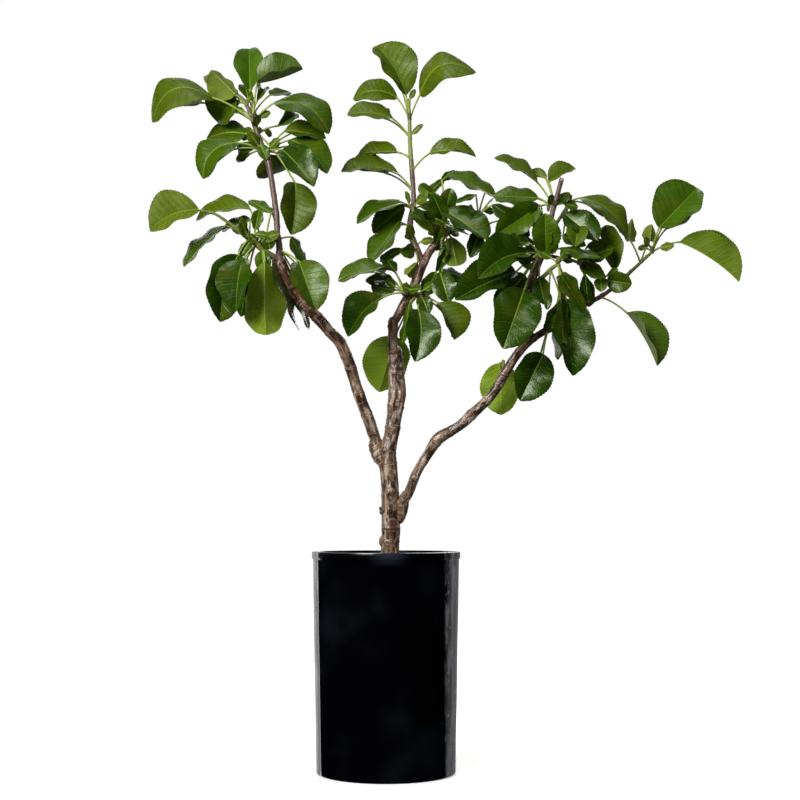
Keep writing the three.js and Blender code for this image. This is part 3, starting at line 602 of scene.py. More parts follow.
# Collars where a bough leaves the trunk, and small buds: right, up, back, half width, half depth,
# half height, lean, how ringed, how brown
trunkCollars = [
    [16.5, 265, -3, 6.2, 6.5, 17, 10, 0.25, 0.45],
    [-7.5, 320, 0, 8.5, 8, 16, -22, 0.8, 0.1],
    [-3.6, 231, -2, 3.5, 4, 6, 0, 0.6, 0],
    [-4.8, 260, -6, 1.9, 2.2, 2.6, 0, 0, 1],
    [-5.6, 263.6, -6, 1.4, 1.6, 1.8, 0, 0, 1]]
# Trunk scars: distance up the trunk, turn about it, half height, half width, proud
front = math.pi  # the turn that faces the viewer
trunkScars = [
    (76, front, 6, 4.2, 1.5), (76, front, 2.6, 1.8, -1.4), (48, front * 1.05, 4, 5, 0.5),
    (33, 4.2, 3, 3, 1.0), (221, front, 2, 12, 1.1), (43, front, 2, 12, 0.8), (108, 2.4, 9, 2, -1.6),
    (170, front, 15, 2.6, -1.8), (171, front - 0.8, 17, 1.2, 1.4), (172, front + 0.8, 17, 1.2, 1.5),
    (196, 3.6, 3, 2.4, 0.8), (121, front - 0.3, 4, 3, 0.9), (141, 3.4, 3, 2.5, 0.8)]


def limbSkin(stations, settings, seed, rows, around, ruddyFrom):
    relief = barkRelief(settings, seed, stationLength(stations))
    grid, mark, share, straight = limbRings(stations, rows, around, relief)
    ruddy = np.clip((share - ruddyFrom) / 0.04, 0, 1)
    skin = outward(skinned(grid))
    ends = [0, -1]
    skin["barkMark"] = marked(grid, (mark, mark[ends].mean(1)), (ruddy[:, None], ruddy[ends]), (0, [0, 0]))
    skin["barkPlace"] = withMiddles(straight) / 1000
    return skin


# A collar is a ball stretched along the trunk and leant:
# centre + turned (w cos a sin b, d sin a sin b, h cos b)
def collarSkin(collar, seed, rows=40, around=48):
    right, up, back, wide, deep, high, lean, ringed, brown = collar
    b = np.linspace(0.12, math.pi - 0.12, rows)[:, None]
    a = turns(around)
    rings = 16 * b + 1.5 * np.cos(a)
    swell = 1 + 0.05 * roughness(seed, b * 7, a / (2 * math.pi) * 9, 9) + 0.05 * ringed * np.cos(rings)
    x, y, z = wide * swell * np.sin(b) * np.cos(a), deep * swell * np.sin(b) * np.sin(a), high * np.cos(b)
    cos, sin = math.cos(math.radians(lean)), math.sin(math.radians(lean))
    grid = together(x * cos + z * sin, y, z * cos - x * sin) + placed([right, up, back])
    skin = outward(skinned(grid))
    mark = np.maximum(0.9 * ringed * np.cos(rings + 2.6), brown)
    skin["barkMark"] = marked(grid, (mark, [0, 0]), (0, [0, 0]), (0, [0, 0]))
    skin["barkPlace"] = skin["places"] / 1000
    return skin


barkTints = {"base": colour(108, 84, 68), "dark": colour(42, 27, 20), "silver": colour(196, 176, 158),
             "scar": colour(80, 50, 34), "ruddy": colour(96, 60, 44)}


def barkFinish(tints):
    made, start = newFinish("greyBrownBark")
    worn, ruddy = markOf(start, "barkMark").parts(2)
    place = markOf(start, "barkPlace")
    broad = grain(start, 75, 4, (1, 1, 0.5), place)
    streaks = grain(start, 300, 4, (1, 1, 0.28), place)
    bars = band(grain(start, 260, 3, (0.45, 0.45, 3.4), place), 0.62, 0.7)
    pores = band(grain(start, 900, 2, (1, 1, 0.8), place), 0.66, 0.72)
    rimmed = band(worn, 0.08, 0.22) * band(worn, 0.5, 0.3)  # a pale rim round each scar
    tint = layered(
        tints["base"], (ruddy * 0.8, tints["ruddy"]), (band(broad, 0.48, 0.58) * 0.85, tints["dark"]),
        # the pale silvery streaks are partly the bark's own grey skin and partly painted sheen
        (band(streaks, 0.52, 0.64) * (0.6 - 0.25 * ruddy), tints["silver"]),
        (band(streaks, 0.46, 0.36) * 0.9, tints["dark"]), (bars * 0.4, tints["silver"]),
        (pores * 0.7, tints["dark"]), (rimmed * 0.2, tints["silver"]),
        (band(worn, 0.25, 0.6) * 0.8, tints["scar"]))
    height = broad + streaks * 0.7 + bars * 0.2 - pores * 0.4
    surface = {"Base Color": tint, "Roughness": 0.2 + 0.12 * broad, "Specular IOR Level": 0.42}
    close(start, surface, height, 0.0018, 0.9)
    return made


bark = barkFinish(barkTints)
trunkSet = {**barkSet, "scars": trunkScars, "ringStep": 34}
trunk = [limbSkin(trunkStations, trunkSet, 31, rows=420, around=96, ruddyFrom=0.85)]
trunk += [collarSkin(c, 40 + n) for n, c in enumerate(trunkCollars)]
trunkFoot = soilSet["level"] - 2.2  # under the lowest soil beside it
for skin in trunk:
    skin["places"][:, 2] = np.maximum(skin["places"][:, 2], trunkFoot)
makePiece("trunkBark", trunk, bark, ["trunk"], ["barkMark", "barkPlace"])
for name, node, stations, seed, ruddyFrom in (
        ("leftBoughBark", "left_bough", leftBoughStations, 51, 0.45),
        ("rightBoughBark", "right_bough", rightBoughStations, 61, 0.55),
        ("middleBoughBark", "middle_bough", middleBoughStations, 71, 0),
        ("upperBoughBark", "right_upper_bough", upperBoughStations, 81, 0)):
    rows = 40 + 16 * len(stations)
    skin = limbSkin(stations, barkSet, seed, rows, around=64, ruddyFrom=ruddyFrom)
    makePiece(name, [skin], bark, [node], ["barkMark", "barkPlace"])


# Foliage

# How a blade is held: its upper side to the viewer or away, leaning or folded, its bow, its twist
# in degrees, and half its width over its length.
leafForms = {
    "facing": {"face": 1, "leans": False, "bow": 0.08, "twist": 6, "half": 0.33},
    "turned": {"face": 1, "leans": True, "bow": 0.03, "twist": 6, "half": 0.38},
    "back": {"face": -1, "leans": False, "bow": 0.08, "twist": 6, "half": 0.33},
    "wavy": {"face": 1, "leans": True, "bow": 0.06, "twist": 40, "half": 0.33},
    "slim": {"face": 1, "leans": True, "bow": 0.04, "twist": 12, "half": 0.22}}
leafSet = {"stalkSteps": (0, 0.05, 0.2, 0.4, 0.6, 0.8, 0.93, 1),
           "stalkRadii": (1.7, 1.25, 1, 0.92, 0.9, 0.95, 1.05, 1.1),
           "stalkArch": 0.07, "stalkNearShare": 0.4, "leafStep": 1.2, "toothEvery": 3.0, "tooth": 0.8,
           "thick": 0.4, "rib": 0.6, "groove": 0.15, "cup": 0.045, "wave": 0.035, "quilt": 0.09,
           "fullness": 1.05, "veins": 8.5, "slant": 1.7}
# Upper side, under side and dullness of each tint
leafTints = {
    "dark": (colour(36, 64, 0), colour(84, 106, 6), 0.2),
    "mid": (colour(60, 86, 0), colour(90, 110, 12), 0.28),
    "olive": (colour(72, 90, 0), colour(94, 114, 8), 0.34),
    "pale": (colour(90, 104, 14), colour(98, 114, 30), 0.42),
    "fresh": (colour(62, 96, 0), colour(90, 112, 8), 0.32),
    # bright is a lighter copy of the tints, painted light for under sides that lie in the shade of the trunk
    # and leaves
    "bright": (colour(92, 122, 10), colour(120, 148, 22), 0.42)}

# A spray has its tint, the share of its first stem where the bark turns green, maybe the stem that
# ends in a dry cut, its stems as stations, and its buds: [right, up] beside a stem, and a row for
# each leaf. A row is the end of the stalk and the tip of the blade from the bud, how far the tip
# stands nearer, how far midrib, left half and right half reach sideways, its form, and maybe its
# own tint.
sprays = {
    "left_leader_foliage": {"tint": "mid", "greenFrom": 1.1, "stems": [
        [[-107, 513, -40, 3.6], [-106.5, 523, -41, 3.4], [-108.5, 538, -40, 3], [-109.5, 558, -37, 2.9],
         [-112.5, 579, -33, 2.8], [-115.5, 599, -29, 2.8], [-119, 615, -26, 3.3], [-123, 623, -25, 3.2],
         [-129, 640, -22, 2.5], [-133, 651, -21, 2.5], [-138, 664, -19, 2], [-143, 673, -18, 1.7],
         [-149, 678, -17, 1.2]]], "buds": [
        [[-139, 667], [
            [-11, 10, -36, 35, 14, 0, 18, 6, "back", "pale"],
            [-11, 8, -31, -16, -18, 0, 10, 23, "facing", "mid"], [1, 6, -2, 20, -30, 0, 7, 7, "facing"]]],
        [[-133, 653], [
            [-40, 21, -101, -3, 10, -22, 16, 13, "turned", "olive"],
            [-3, 29, -4, 70, -36, 0, 15, 13, "facing", "fresh"], [4, 36, 50, 50, 6, -2, 25, -7, "turned"],
            [4, 18, 10, 30, -38, 0, 6, 5, "facing"], [17, 24, 37, 27, -30, 0, 6, 3, "turned"],
            [23, 17, 76, -15, 14, 12, 15, 12, "turned"]]],
        [[-125, 641], [
            [17, 5, 34, 18, -34, 0, 7, 6, "facing"], [34, -52, 30, -104, 18, 2, 21, 14, "facing", "olive"],
            [-15, -3, -55, -9, -20, -4, 12, 12, "turned"]]],
        [[-119, 621], [
            [18, 20, 59, 12, -6, 2, 13, 4, "turned"], [23, 11, 60, -23, 12, 5, 17, 8, "turned"],
            [15, 1, 47, -36, 30, 2, 19, 9, "facing", "dark"], [-29, 8, -64, -28, 10, -12, 11, 14, "turned"],
            [-17, -3, -31, -9, -24, 0, 4, 5, "slim"], [-11, 5, -29, 1, -26, 0, 6, 7, "facing"],
            [2, -4, 8, -23, -38, 0, 19, 18, "facing", "olive"]]],
        [[-106, 535], [
            [11, 0, 26, -25, -20, 0, 5, 7, "turned"], [-8, 25, -30, 37, -42, 0, 4, 5, "slim"]]],
        [[-106, 524], [
            [19, -14, 36, -63, 28, 0, 22, 12, "facing"], [13, -24, 29, -81, -34, 0, 7, 6, "slim", "dark"]]],
        [[-119, 621], [
            [-6, 6, 0, -9, 5, 0, 6, 6, "facing", "mid"]]]]},
    "left_side_foliage": {"tint": "mid", "greenFrom": 0.05, "stems": [
        [[-108, 512, -41, 3.2], [-124, 523, -46, 2.8], [-136, 532, -52, 2.4], [-148, 542, -57, 1.9],
         [-160, 551, -62, 1.5], [-171, 558, -66, 1.3], [-182, 561, -69, 1.1]]], "buds": [
        [[-182, 561], [
            [-5, 1, -54, -20, 0, -6, 8, 24, "turned", "pale"]]],
        [[-138, 532], [
            [-22, 14, -64, -27, 10, -2, 1, 9, "turned"], [2, 19, -26, 10, -22, -1, 3, 7, "turned"],
            [-10, -15, -28, -82, 14, -4, 20, 18, "facing", "dark"]]],
        [[-131, 528], [
            [-12, -16, -19, -68, 34, -2, 10, 21, "facing", "dark"],
            [-6, -24, -14, -73, -12, 0, 8, 8, "slim", "dark"], [-5, 3, -15, -12, 6, 0, 6, 5, "slim"],
            [0, 14, 4, 34, -8, 0, 6, 6, "facing"]]],
        [[-122, 523], [
            [-14, 40, -68, 28, -12, -5, 1, 13, "turned", "olive"], [7, 36, -14, 48, -16, 0, 4, 5, "slim"],
            [1, -13, 2, -86, 30, -1, 20, 20, "back", "olive"], [6, 0, 3, 13, 8, 0, 7, 6, "facing"]]],
        [[-115, 518], [
            [2, -9, 28, -77, 6, 0, 4, 4, "slim", "dark"],
            [5, -14, 20, -54, -22, 0, 9, 9, "facing", "dark"]]],
        [[-122, 523], [
            [-2, -2, 0, -24, 5, 0, 8, 8, "facing", "mid"]]]]},
    "middle_leader_foliage": {"tint": "olive", "greenFrom": 0.54, "stems": [
        [[38, 508, 8, 3.2], [29.5, 526, 12, 3.4], [24.5, 538, 14, 3.4], [24.5, 552, 16, 3],
         [27.5, 567, 19, 2.8], [27.5, 580, 21, 2.4], [26, 601, 25, 2.6], [24.5, 622, 28, 2.3],
         [23.8, 636, 30, 2.1], [23.5, 653, 32, 1.9], [23, 664, 33, 1.6], [22, 673, 34, 1.3]]], "buds": [
        [[23, 653], [
            [-3, 24, -33, 73, -12, -4, 9, 26, "facing"], [11, 24, 67, 47, 8, 20, 13, 16, "turned"],
            [-12, 21, -56, 20, -10, -8, 9, 13, "turned"], [1, 20, 6, 30, -6, 0, 3, 3, "slim"]]],
        [[23, 637], [
            [-16, 16, -62, 20, 14, -4, 4, 12, "turned"], [3, 1, 14, 11, 4, 0, 3, 3, "slim"]]],
        [[23, 615], [
            [-12, 5, -52, 0, -12, -2, 2, 12, "turned"]]],
        [[28, 603], [
            [16, 16, 62, 12, 12, 4, 14, 2, "wavy"]]],
        [[25, 582], [
            [-13, 16, -70, 18, 12, -5, 1, 14, "turned"]]],
        [[25, 563], [
            [-5, 5, -54, -15, 14, -5, 2, 11, "turned", "mid"], [-2, 5, -5, 18, -6, 0, 2, 3, "slim"],
            [-7, 3, -38, -24, -10, 0, 10, 14, "turned", "mid"],
            [2, -3, 24, -25, 34, 0, 6, 6, "facing", "dark"]]],
        [[24, 547], [
            [-11, 3, -39, -37, 10, 0, 6, 14, "turned", "mid"],
            [-10, 0, -34, -11, -14, 0, 4, 6, "slim", "mid"]]],
        [[29, 526], [
            [-1, -4, -15, -6, 26, 0, 8, 7, "facing", "mid"], [3, -16, -8, -29, 24, 0, 6, 5, "back", "mid"],
            [-13, -3, -35, -16, 6, 0, 4, 6, "slim", "mid"]]]]},
    "middle_spur_foliage": {"tint": "dark", "greenFrom": 0.9, "stems": [
        [[16, 478, -8, 2.2], [22, 480, -6, 3], [27, 479, -4, 3.2], [33, 475, -6, 2.2]]], "buds": [
        [[19, 478], [
            [-10, 23, -67, 13, 6, -6, 1, 10, "wavy", "mid"],
            [-13, 13, -39, 15, -22, 0, 5, 7, "turned", "mid"],
            [-10, 4, -34, 8, -10, 0, 9, 4, "turned", "mid"], [-23, -4, -57, -43, 26, -5, 6, 21, "facing"],
            [-10, 22, -22, 40, -14, 0, 6, 6, "turned"]]],
        [[30, 475], [
            [2, -13, -1, -65, 32, 4, 20, 14, "facing"], [-6, -5, -14, -48, 4, 0, 5, 4, "slim", "mid"],
            # the bright tint on the next leaf is painted light on a leaf in shade
            [-21, -40, -37, -95, -34, 0, 21, 25, "back", "bright"], [5, 3, 13, -17, 10, 0, 8, 8, "facing"],
            [22, -6, 38, -43, 16, 1, 24, 2, "turned", "olive"]]]]},
    "centre_foliage": {"tint": "dark", "greenFrom": 0.5, "stems": [
        [[53, 531, 7, 3], [59, 537, 4, 2.9], [66, 541, 1, 2.6], [80, 549, -4, 2.2], [92, 556, -6, 1.9],
         [101, 547, -6, 1.4]]], "buds": [
        [[58, 536], [
            [-4, -36, 5, -67, 14, 0, 12, 12, "facing"], [-8, -36, -21, -60, -14, 0, 8, 8, "facing", "mid"],
            [-2, -35, 26, -41, -22, 0, 5, 8, "turned"], [-4, -10, -9, -15, 34, 0, 5, 5, "facing"]]],
        [[60, 540], [
            [5, -5, 11, -34, 18, 0, 12, 14, "back", "mid"], [-2, 22, 41, -8, 40, 1, 18, 7, "turned"],
            [-10, 13, 22, -3, 54, 0, 4, 3, "slim"], [-9, 34, -27, 47, -10, 0, 7, 6, "facing", "mid"],
            [0, 22, 5, 44, 14, 0, 9, 9, "facing"], [-5, 23, -15, 38, -4, 0, 5, 5, "slim"],
            [-18, 38, -2, 53, -16, 0, 5, 4, "slim"], [-5, 5, -11, -14, 24, 0, 6, 6, "facing"],
            [-4, 6, -34, 19, 10, 0, 9, 9, "facing"], [-2, 12, -14, 40, 22, 0, 9, 9, "facing"],
            [-4, 52, 9, 62, -14, 0, 4, 5, "slim"]]],
        [[92, 556], [
            [17, 19, -31, 42, 0, -1, 3, 11, "turned", "mid"], [-2, 21, -22, 13, 16, 0, 2, 4, "slim"],
            [15, 11, 50, -12, 4, 0, 8, 8, "turned"], [1, -16, -8, -42, 10, 0, 8, 8, "facing"]]],
        [[101, 547], [
            [13, 4, 43, -11, -8, 0, 8, 8, "facing"]]],
        [[60, 540], [
            [2, -18, -10, -40, 5, 0, 5, 5, "facing", "dark"]]]]},
    "right_upper_foliage": {"tint": "dark", "greenFrom": 1.4, "cutStem": 0, "stems": [
        [[147, 495, -27, 4.4], [150.5, 507, -26, 4.8], [155, 518, -26, 4.8], [159, 530, -28, 2.9],
         [164, 550, -31, 2.6], [170, 572, -34, 2.4], [176, 594, -37, 2.3]],
        [[156, 521, -27, 2.4], [165, 540, -20, 2], [179, 562, -12, 1.7], [184, 572, -10, 1.3]],
        [[154, 517, -26, 2.4], [164, 516, -19, 1.9], [178, 513, -14, 1.6], [193, 509, -10, 1.4],
         [206, 499, -9, 1.3], [217, 492, -9, 1.1]]], "buds": [
        [[167, 566], [
            [-15, 8, -60, 10, -10, 0, 7, 10, "turned", "mid"],
            [-16, 24, -59, 48, 4, -2, 1, 10, "turned", "olive"],
            [-4, 24, 23, 37, -8, 1, 14, 1, "turned", "olive"],
            [-7, 27, -23, 35, -16, 0, 2, 7, "slim", "olive"],
            [-13, 0, -58, -29, -8, 0, 13, 14, "facing", "mid"], [4, 2, 16, 14, -6, 0, 5, 5, "turned"]]],
        [[184, 571], [
            [11, 3, 56, -37, 10, 9, 12, 7, "turned", "olive"], [-5, -13, 28, -40, 26, 0, 17, 8, "turned"],
            [8, -26, 5, -46, 44, 0, 11, 11, "facing", "olive"]]],
        [[159, 518], [
            [1, 2, 0, 41, 30, 0, 13, 15, "facing", "mid"], [18, 6, 55, -4, 26, 0, 5, 6, "turned", "mid"],
            [-12, 28, -6, 50, 10, 0, 6, 7, "facing"]]],
        [[154, 518], [
            [-11, 11, -35, 11, 20, 0, 3, 10, "turned"], [-13, 0, -62, -25, 38, -7, 10, 25, "facing"],
            [-24, -18, -85, -46, 18, -2, 9, 24, "facing"], [-10, -8, -26, -3, 50, 0, 7, 5, "facing"],
            [-16, -36, -37, -95, 52, 0, 24, 22, "facing"], [-15, -21, -46, -53, 4, 0, 15, 12, "facing"],
            [-1, -24, 5, -51, 14, 0, 8, 9, "facing"]]],
        [[193, 509], [
            [2, 1, 27, -15, 18, 0, 7, 8, "facing", "mid"], [6, -12, 8, -32, 12, 0, 4, 4, "slim"],
            [7, -1, 19, 5, 26, 0, 4, 4, "slim"], [5, 5, 35, 15, 12, 0, 8, 8, "turned", "mid"],
            [6, -14, 10, -44, -16, 0, 8, 8, "facing"]]],
        [[216, 493], [
            [12, 9, 4, 54, -10, 0, 8, 13, "facing", "olive"],
            [5, -1, 30, -5, 10, 0, 10, 11, "facing", "mid"],
            [-1, 1, -1, -13, 14, 0, 7, 7, "facing", "mid"]]],
        [[184, 571], [
            [-7, -35, 16, -45, 12, 0, 7, 6, "facing", "mid"]]],
        [[193, 509], [
            [8, 16, 28, 22, 6, 0, 5, 5, "facing", "mid"]]]]},
    "right_lower_foliage": {"tint": "dark", "greenFrom": 0.3, "stems": [
        [[148, 488, -29, 2.4], [158, 496, -34, 2.1], [165, 503, -37, 2], [172, 508, -40, 1.7]]], "buds": [
        [[172, 509], [
            [3, -12, 27, -50, 34, 0, 9, 8, "facing"], [8, -36, 15, -113, 22, 0, 24, 13, "facing"],
            [5, -37, 0, -97, 2, 0, 7, 6, "turned"], [2, -18, 5, -79, 48, 0, 6, 4, "back", "pale"]]],
        [[165, 504], [
            [-2, -25, -4, -42, 8, 0, 4, 4, "slim"]]],
        [[165, 504], [
            [11, -35, -8, -63, 4, 0, 8, 6, "facing", "mid"]]]]},
    "right_twig_foliage": {"tint": "dark", "greenFrom": 0.1, "stems": [
        [[161, 441, -17, 2], [164, 446, -22, 1.8], [166, 449, -26, 1.4]]], "buds": [
        [[164, 444], [
            [-7, -26, -30, -73, 14, 0, 20, 17, "facing"], [1, 4, 7, -6, -8, 0, 4, 4, "slim"]]]]},
    "right_bough_leaf": {"tint": "olive", "greenFrom": 0.1, "stems": [
        [[118, 402, -22, 2.2], [117, 411, -13, 1.6]]], "buds": [
        [[117, 411], [
            # the bright tint here is painted light on a leaf in shade
            [-3, -2, -2, -54, -14, 0, 19, 20, "back", "bright"]]]]},
    "right_tip_foliage": {"tint": "fresh", "greenFrom": 0.35, "stems": [
        [[197, 467, 1, 2.8], [214, 475, 8, 2.3], [224, 482, 12, 2.1], [239, 495, 18, 1.9],
         [254, 509, 24, 1.7], [266, 520, 28, 1.5]]], "buds": [
        [[266, 522], [
            [7, 22, 45, 62, -14, 0, 29, 16, "facing"], [14, 21, 37, 42, -44, 0, 9, 9, "facing", "dark"],
            [28, 8, 87, -32, 4, 4, 27, -25, "turned", "fresh"]]],
        [[254, 512], [
            [-10, 20, -8, 42, -28, 0, 5, 6, "back", "pale"],
            [10, 20, 12, 36, -30, 0, 9, 6, "back", "pale"]]],
        [[216, 474], [
            [25, -15, 55, -68, 22, 3, 23, -5, "turned", "mid"]]]]}}


# A pear leaf's half width over t, from base to tip: the root of sin(pi t^0.95), broadest just below
# the middle and drawn in to a short point.
def bladeOutline(t):
    point = 1 - 0.35 * np.exp(-((t - 1) / 0.05) ** 2)
    return np.sqrt(np.sin(math.pi * np.clip(t, 0, 1) ** 0.95).clip(0)) * point


# The layout place on a spray's stems nearest to a bud, with the leaves of a bud a step apart.
def onStem(stems, bud, turn):
    wanted = np.array([bud[0], bud[1] + leafSet["leafStep"] * ((turn % 5) - 2)])
    shares = np.arange(201) / 200
    spots = np.vstack([curveThrough(np.array(s)[:, :3], shares) for s in stems])
    return spots[np.argmin(np.linalg.norm(spots[:, :2] - wanted, axis=1))]


# Places round a blade's ring, as shares of its reach: over the upper side from the left edge to the
# right edge, and back below. On the round stalk the same places are turns.
bladeRound = np.array([1, 0.84, 0.56, 0.27, 0.055, 0, -0.055, -0.27, -0.56, -0.84, -1,
                       -0.84, -0.56, -0.27, 0, 0.27, 0.56, 0.84])
isUnder = np.arange(len(bladeRound)) > 10
isRim = np.abs(bladeRound) > 0.99
stalkTurn = np.where(isUnder, math.pi + np.arccos(-bladeRound), np.arccos(bladeRound))


# One leaf as one loft. Along the stalk the ring is a circle. Along the blade it is
# centre(t) + a reach(t) d + cup reach 4 (a - a^2) n + wave, plus and minus half the thickness, where
# d points to the edge of either half, n stands on it, and a runs from 0 at the midrib to 1.
def leafSkin(root, stalkEnd, tip, blade, seed, tint, s=leafSet):
    mid, leftReach, rightReach, formName = blade
    form = leafForms[formName]
    random = np.random.default_rng(seed)
    length = np.linalg.norm(tip - stalkEnd)
    axis = (tip - stalkEnd) / length
    out = unit(eye - stalkEnd)
    out = unit(out - (out @ axis) * axis)
    sideways = np.cross(out, axis)
    near = out * form["face"]
    half = max(form["half"] * length, 1.02 * abs(leftReach), 1.02 * abs(rightReach))
    tilt = (np.sign(sideways[2]) or 1) if form["leans"] else 0
    leftSwing = math.acos(leftReach / half) * (tilt or -1)
    rightSwing = math.acos(rightReach / half) * (tilt or 1)
    middle = (leftSwing + rightSwing) / 2
    normal = near * math.cos(middle) + sideways * math.sin(middle)

    teeth = int(np.clip(round(length / s["toothEvery"]), 7, 30))
    number = np.arange(2 * teeth)[:, None]
    t = (number + 0.4) / (2 * teeth)
    rise = 4 * t * (1 - t)
    centre = stalkEnd + (tip - stalkEnd) * t + sideways * mid * rise + near * form["bow"] * length * rise
    reach = half * s["fullness"] * bladeOutline(t)
    notch = (1 - number % 2) * np.clip(t * 6, 0, 1) * s["tooth"] * min(1, length / 40)
    isLeft, a = bladeRound >= 0, np.abs(bladeRound)
    swing = np.where(isLeft, leftSwing, rightSwing) + math.radians(form["twist"]) * (t - 0.4)
    cos, sin = np.cos(swing)[..., None], np.sin(swing)[..., None]
    way = np.where(isLeft, 1.0, -1.0)[:, None] * (cos * sideways - sin * near)
    up = cos * near + sin * sideways
    wide = (reach - notch * isRim) * a
    phase = random.uniform(0, 2 * math.pi, 2)
    ripple = np.sin(2 * math.pi * (1.6 + phase[0] / 9) * t + np.where(isLeft, phase[0], phase[1]))
    quilt = np.cos(2 * math.pi * (s["veins"] * t - s["slant"] * a)) * 4 * a * (1 - a) * min(1, length / 45)
    lift = s["cup"] * reach * 4 * (a - a ** 2) - s["quilt"] * quilt
    lift = lift + s["wave"] * length * ripple * a ** 2 * np.sin(math.pi * t)
    spine = np.exp(-(a / 0.09) ** 2) * np.where(isUnder, s["rib"] * (1.15 - t), s["groove"])
    body = s["thick"] / 2 * ~isRim * np.where(isUnder, -1.0, 1.0) - spine
    blades = centre[:, None] + way * wide[..., None] + up * lift[..., None] + normal * body[..., None]

    leftWay = unit(np.cross(normal, axis))
    steps = np.array(s["stalkSteps"])[:, None]
    arch = s["stalkArch"] * np.linalg.norm(stalkEnd - root) * 4 * steps * (1 - steps)
    line = root + (stalkEnd - root) * steps + np.array([0, 0, 1.0]) * arch
    along = unit(np.gradient(line, axis=0))
    along[-2:] = unit(unit(stalkEnd - root) + axis)
    across = unit(leftWay - (along @ leftWay)[:, None] * along)
    above = unit(np.cross(along, across))
    above = above * np.sign((above * normal).sum(-1, keepdims=True) + 1e-9)
    stalk = carried(line, across, above, np.array(s["stalkRadii"])[:, None], stalkTurn)
    grid = np.concatenate([stalk, blades])
    skin = skinned(grid)
    skin["places"][-1] = tip

    *sides, dull = leafTints[tint]
    isBlade = np.arange(len(grid))[:, None] >= len(steps)
    places = np.vstack([np.linspace(-1, -0.02, len(steps))[:, None], t])
    reaches = np.vstack([np.ones_like(steps), reach])
    skin["leafPlace"] = marked(grid, (places, [-1, 1]), (isBlade * bladeRound, [0, 0]),
                               (np.where(isRim, 0.5, isUnder), [0.5, 0.5]))
    skin["leafSize"] = marked(grid, (reaches, [1, 1]), (dull, [dull, dull]), (0, [0, 0]))
    shade = 1 + random.uniform(-0.12, 0.12)
    for name, value in zip(("leafTop", "leafUnder"), sides):
        shown = np.array(value) * [shade, shade * random.uniform(0.97, 1.03), shade, 1]
        skin[name] = np.tile(shown, (len(skin["places"]), 1))
    return outward(skin)


# Where the stalk of a row's leaf ends, and its blade.
def leafEnds(bud, origin, row):
    stalkRight, stalkUp, tipRight, tipUp, reach = row[:5]
    right, up = bud
    stalkEnd = placed([right + stalkRight, up + stalkUp, origin[2] - reach * leafSet["stalkNearShare"]])
    return stalkEnd, placed([right + tipRight, up + tipUp, origin[2] - reach])


# The leaf that a row asks for, with its root at a layout place on the stem.
def leafFromRow(bud, origin, row, seed, tint):
    return leafSkin(placed(origin), *leafEnds(bud, origin, row), row[5:9], seed, tint)


# Seeded numbers by state = (1664525 state + 1013904223) mod 2^32, as the solids use.
def stream(seed):
    state = seed
    while True:
        state = (state * 1664525 + 1013904223) % 4294967296
        yield state / 4294967296


rearSet = {"chance": 0.42, "deepestFront": -16, "leastBlade": 34, "startShare": 0.2, "tipShare": 0.8,
           "widthShare": 0.75, "back": (40, 74)}


# A leaf behind a wide one lies within its outline, further back: it takes a stretch of the way from
# the stalk's end to the tip, and the same share of its width.
def rearRow(row, numbers, s=rearSet):
    stalkRight, stalkUp, tipRight, tipUp, reach, mid, left, right = row[:8]
    chance, depth, size = (next(numbers) for _ in range(3))
    over, rise = tipRight - stalkRight, tipUp - stalkUp
    if reach <= s["deepestFront"] or math.hypot(over, rise) <= s["leastBlade"] or chance > s["chance"]:
        return None
    back = s["back"][0] + (s["back"][1] - s["back"][0]) * depth
    start, share = s["startShare"], s["tipShare"] * (0.9 + 0.2 * size)
    wide = share * s["widthShare"]
    return [stalkRight + over * start, stalkUp + rise * start, stalkRight + over * share,
            stalkUp + rise * share, -back, mid * share, left * wide, right * wide, "turned"]


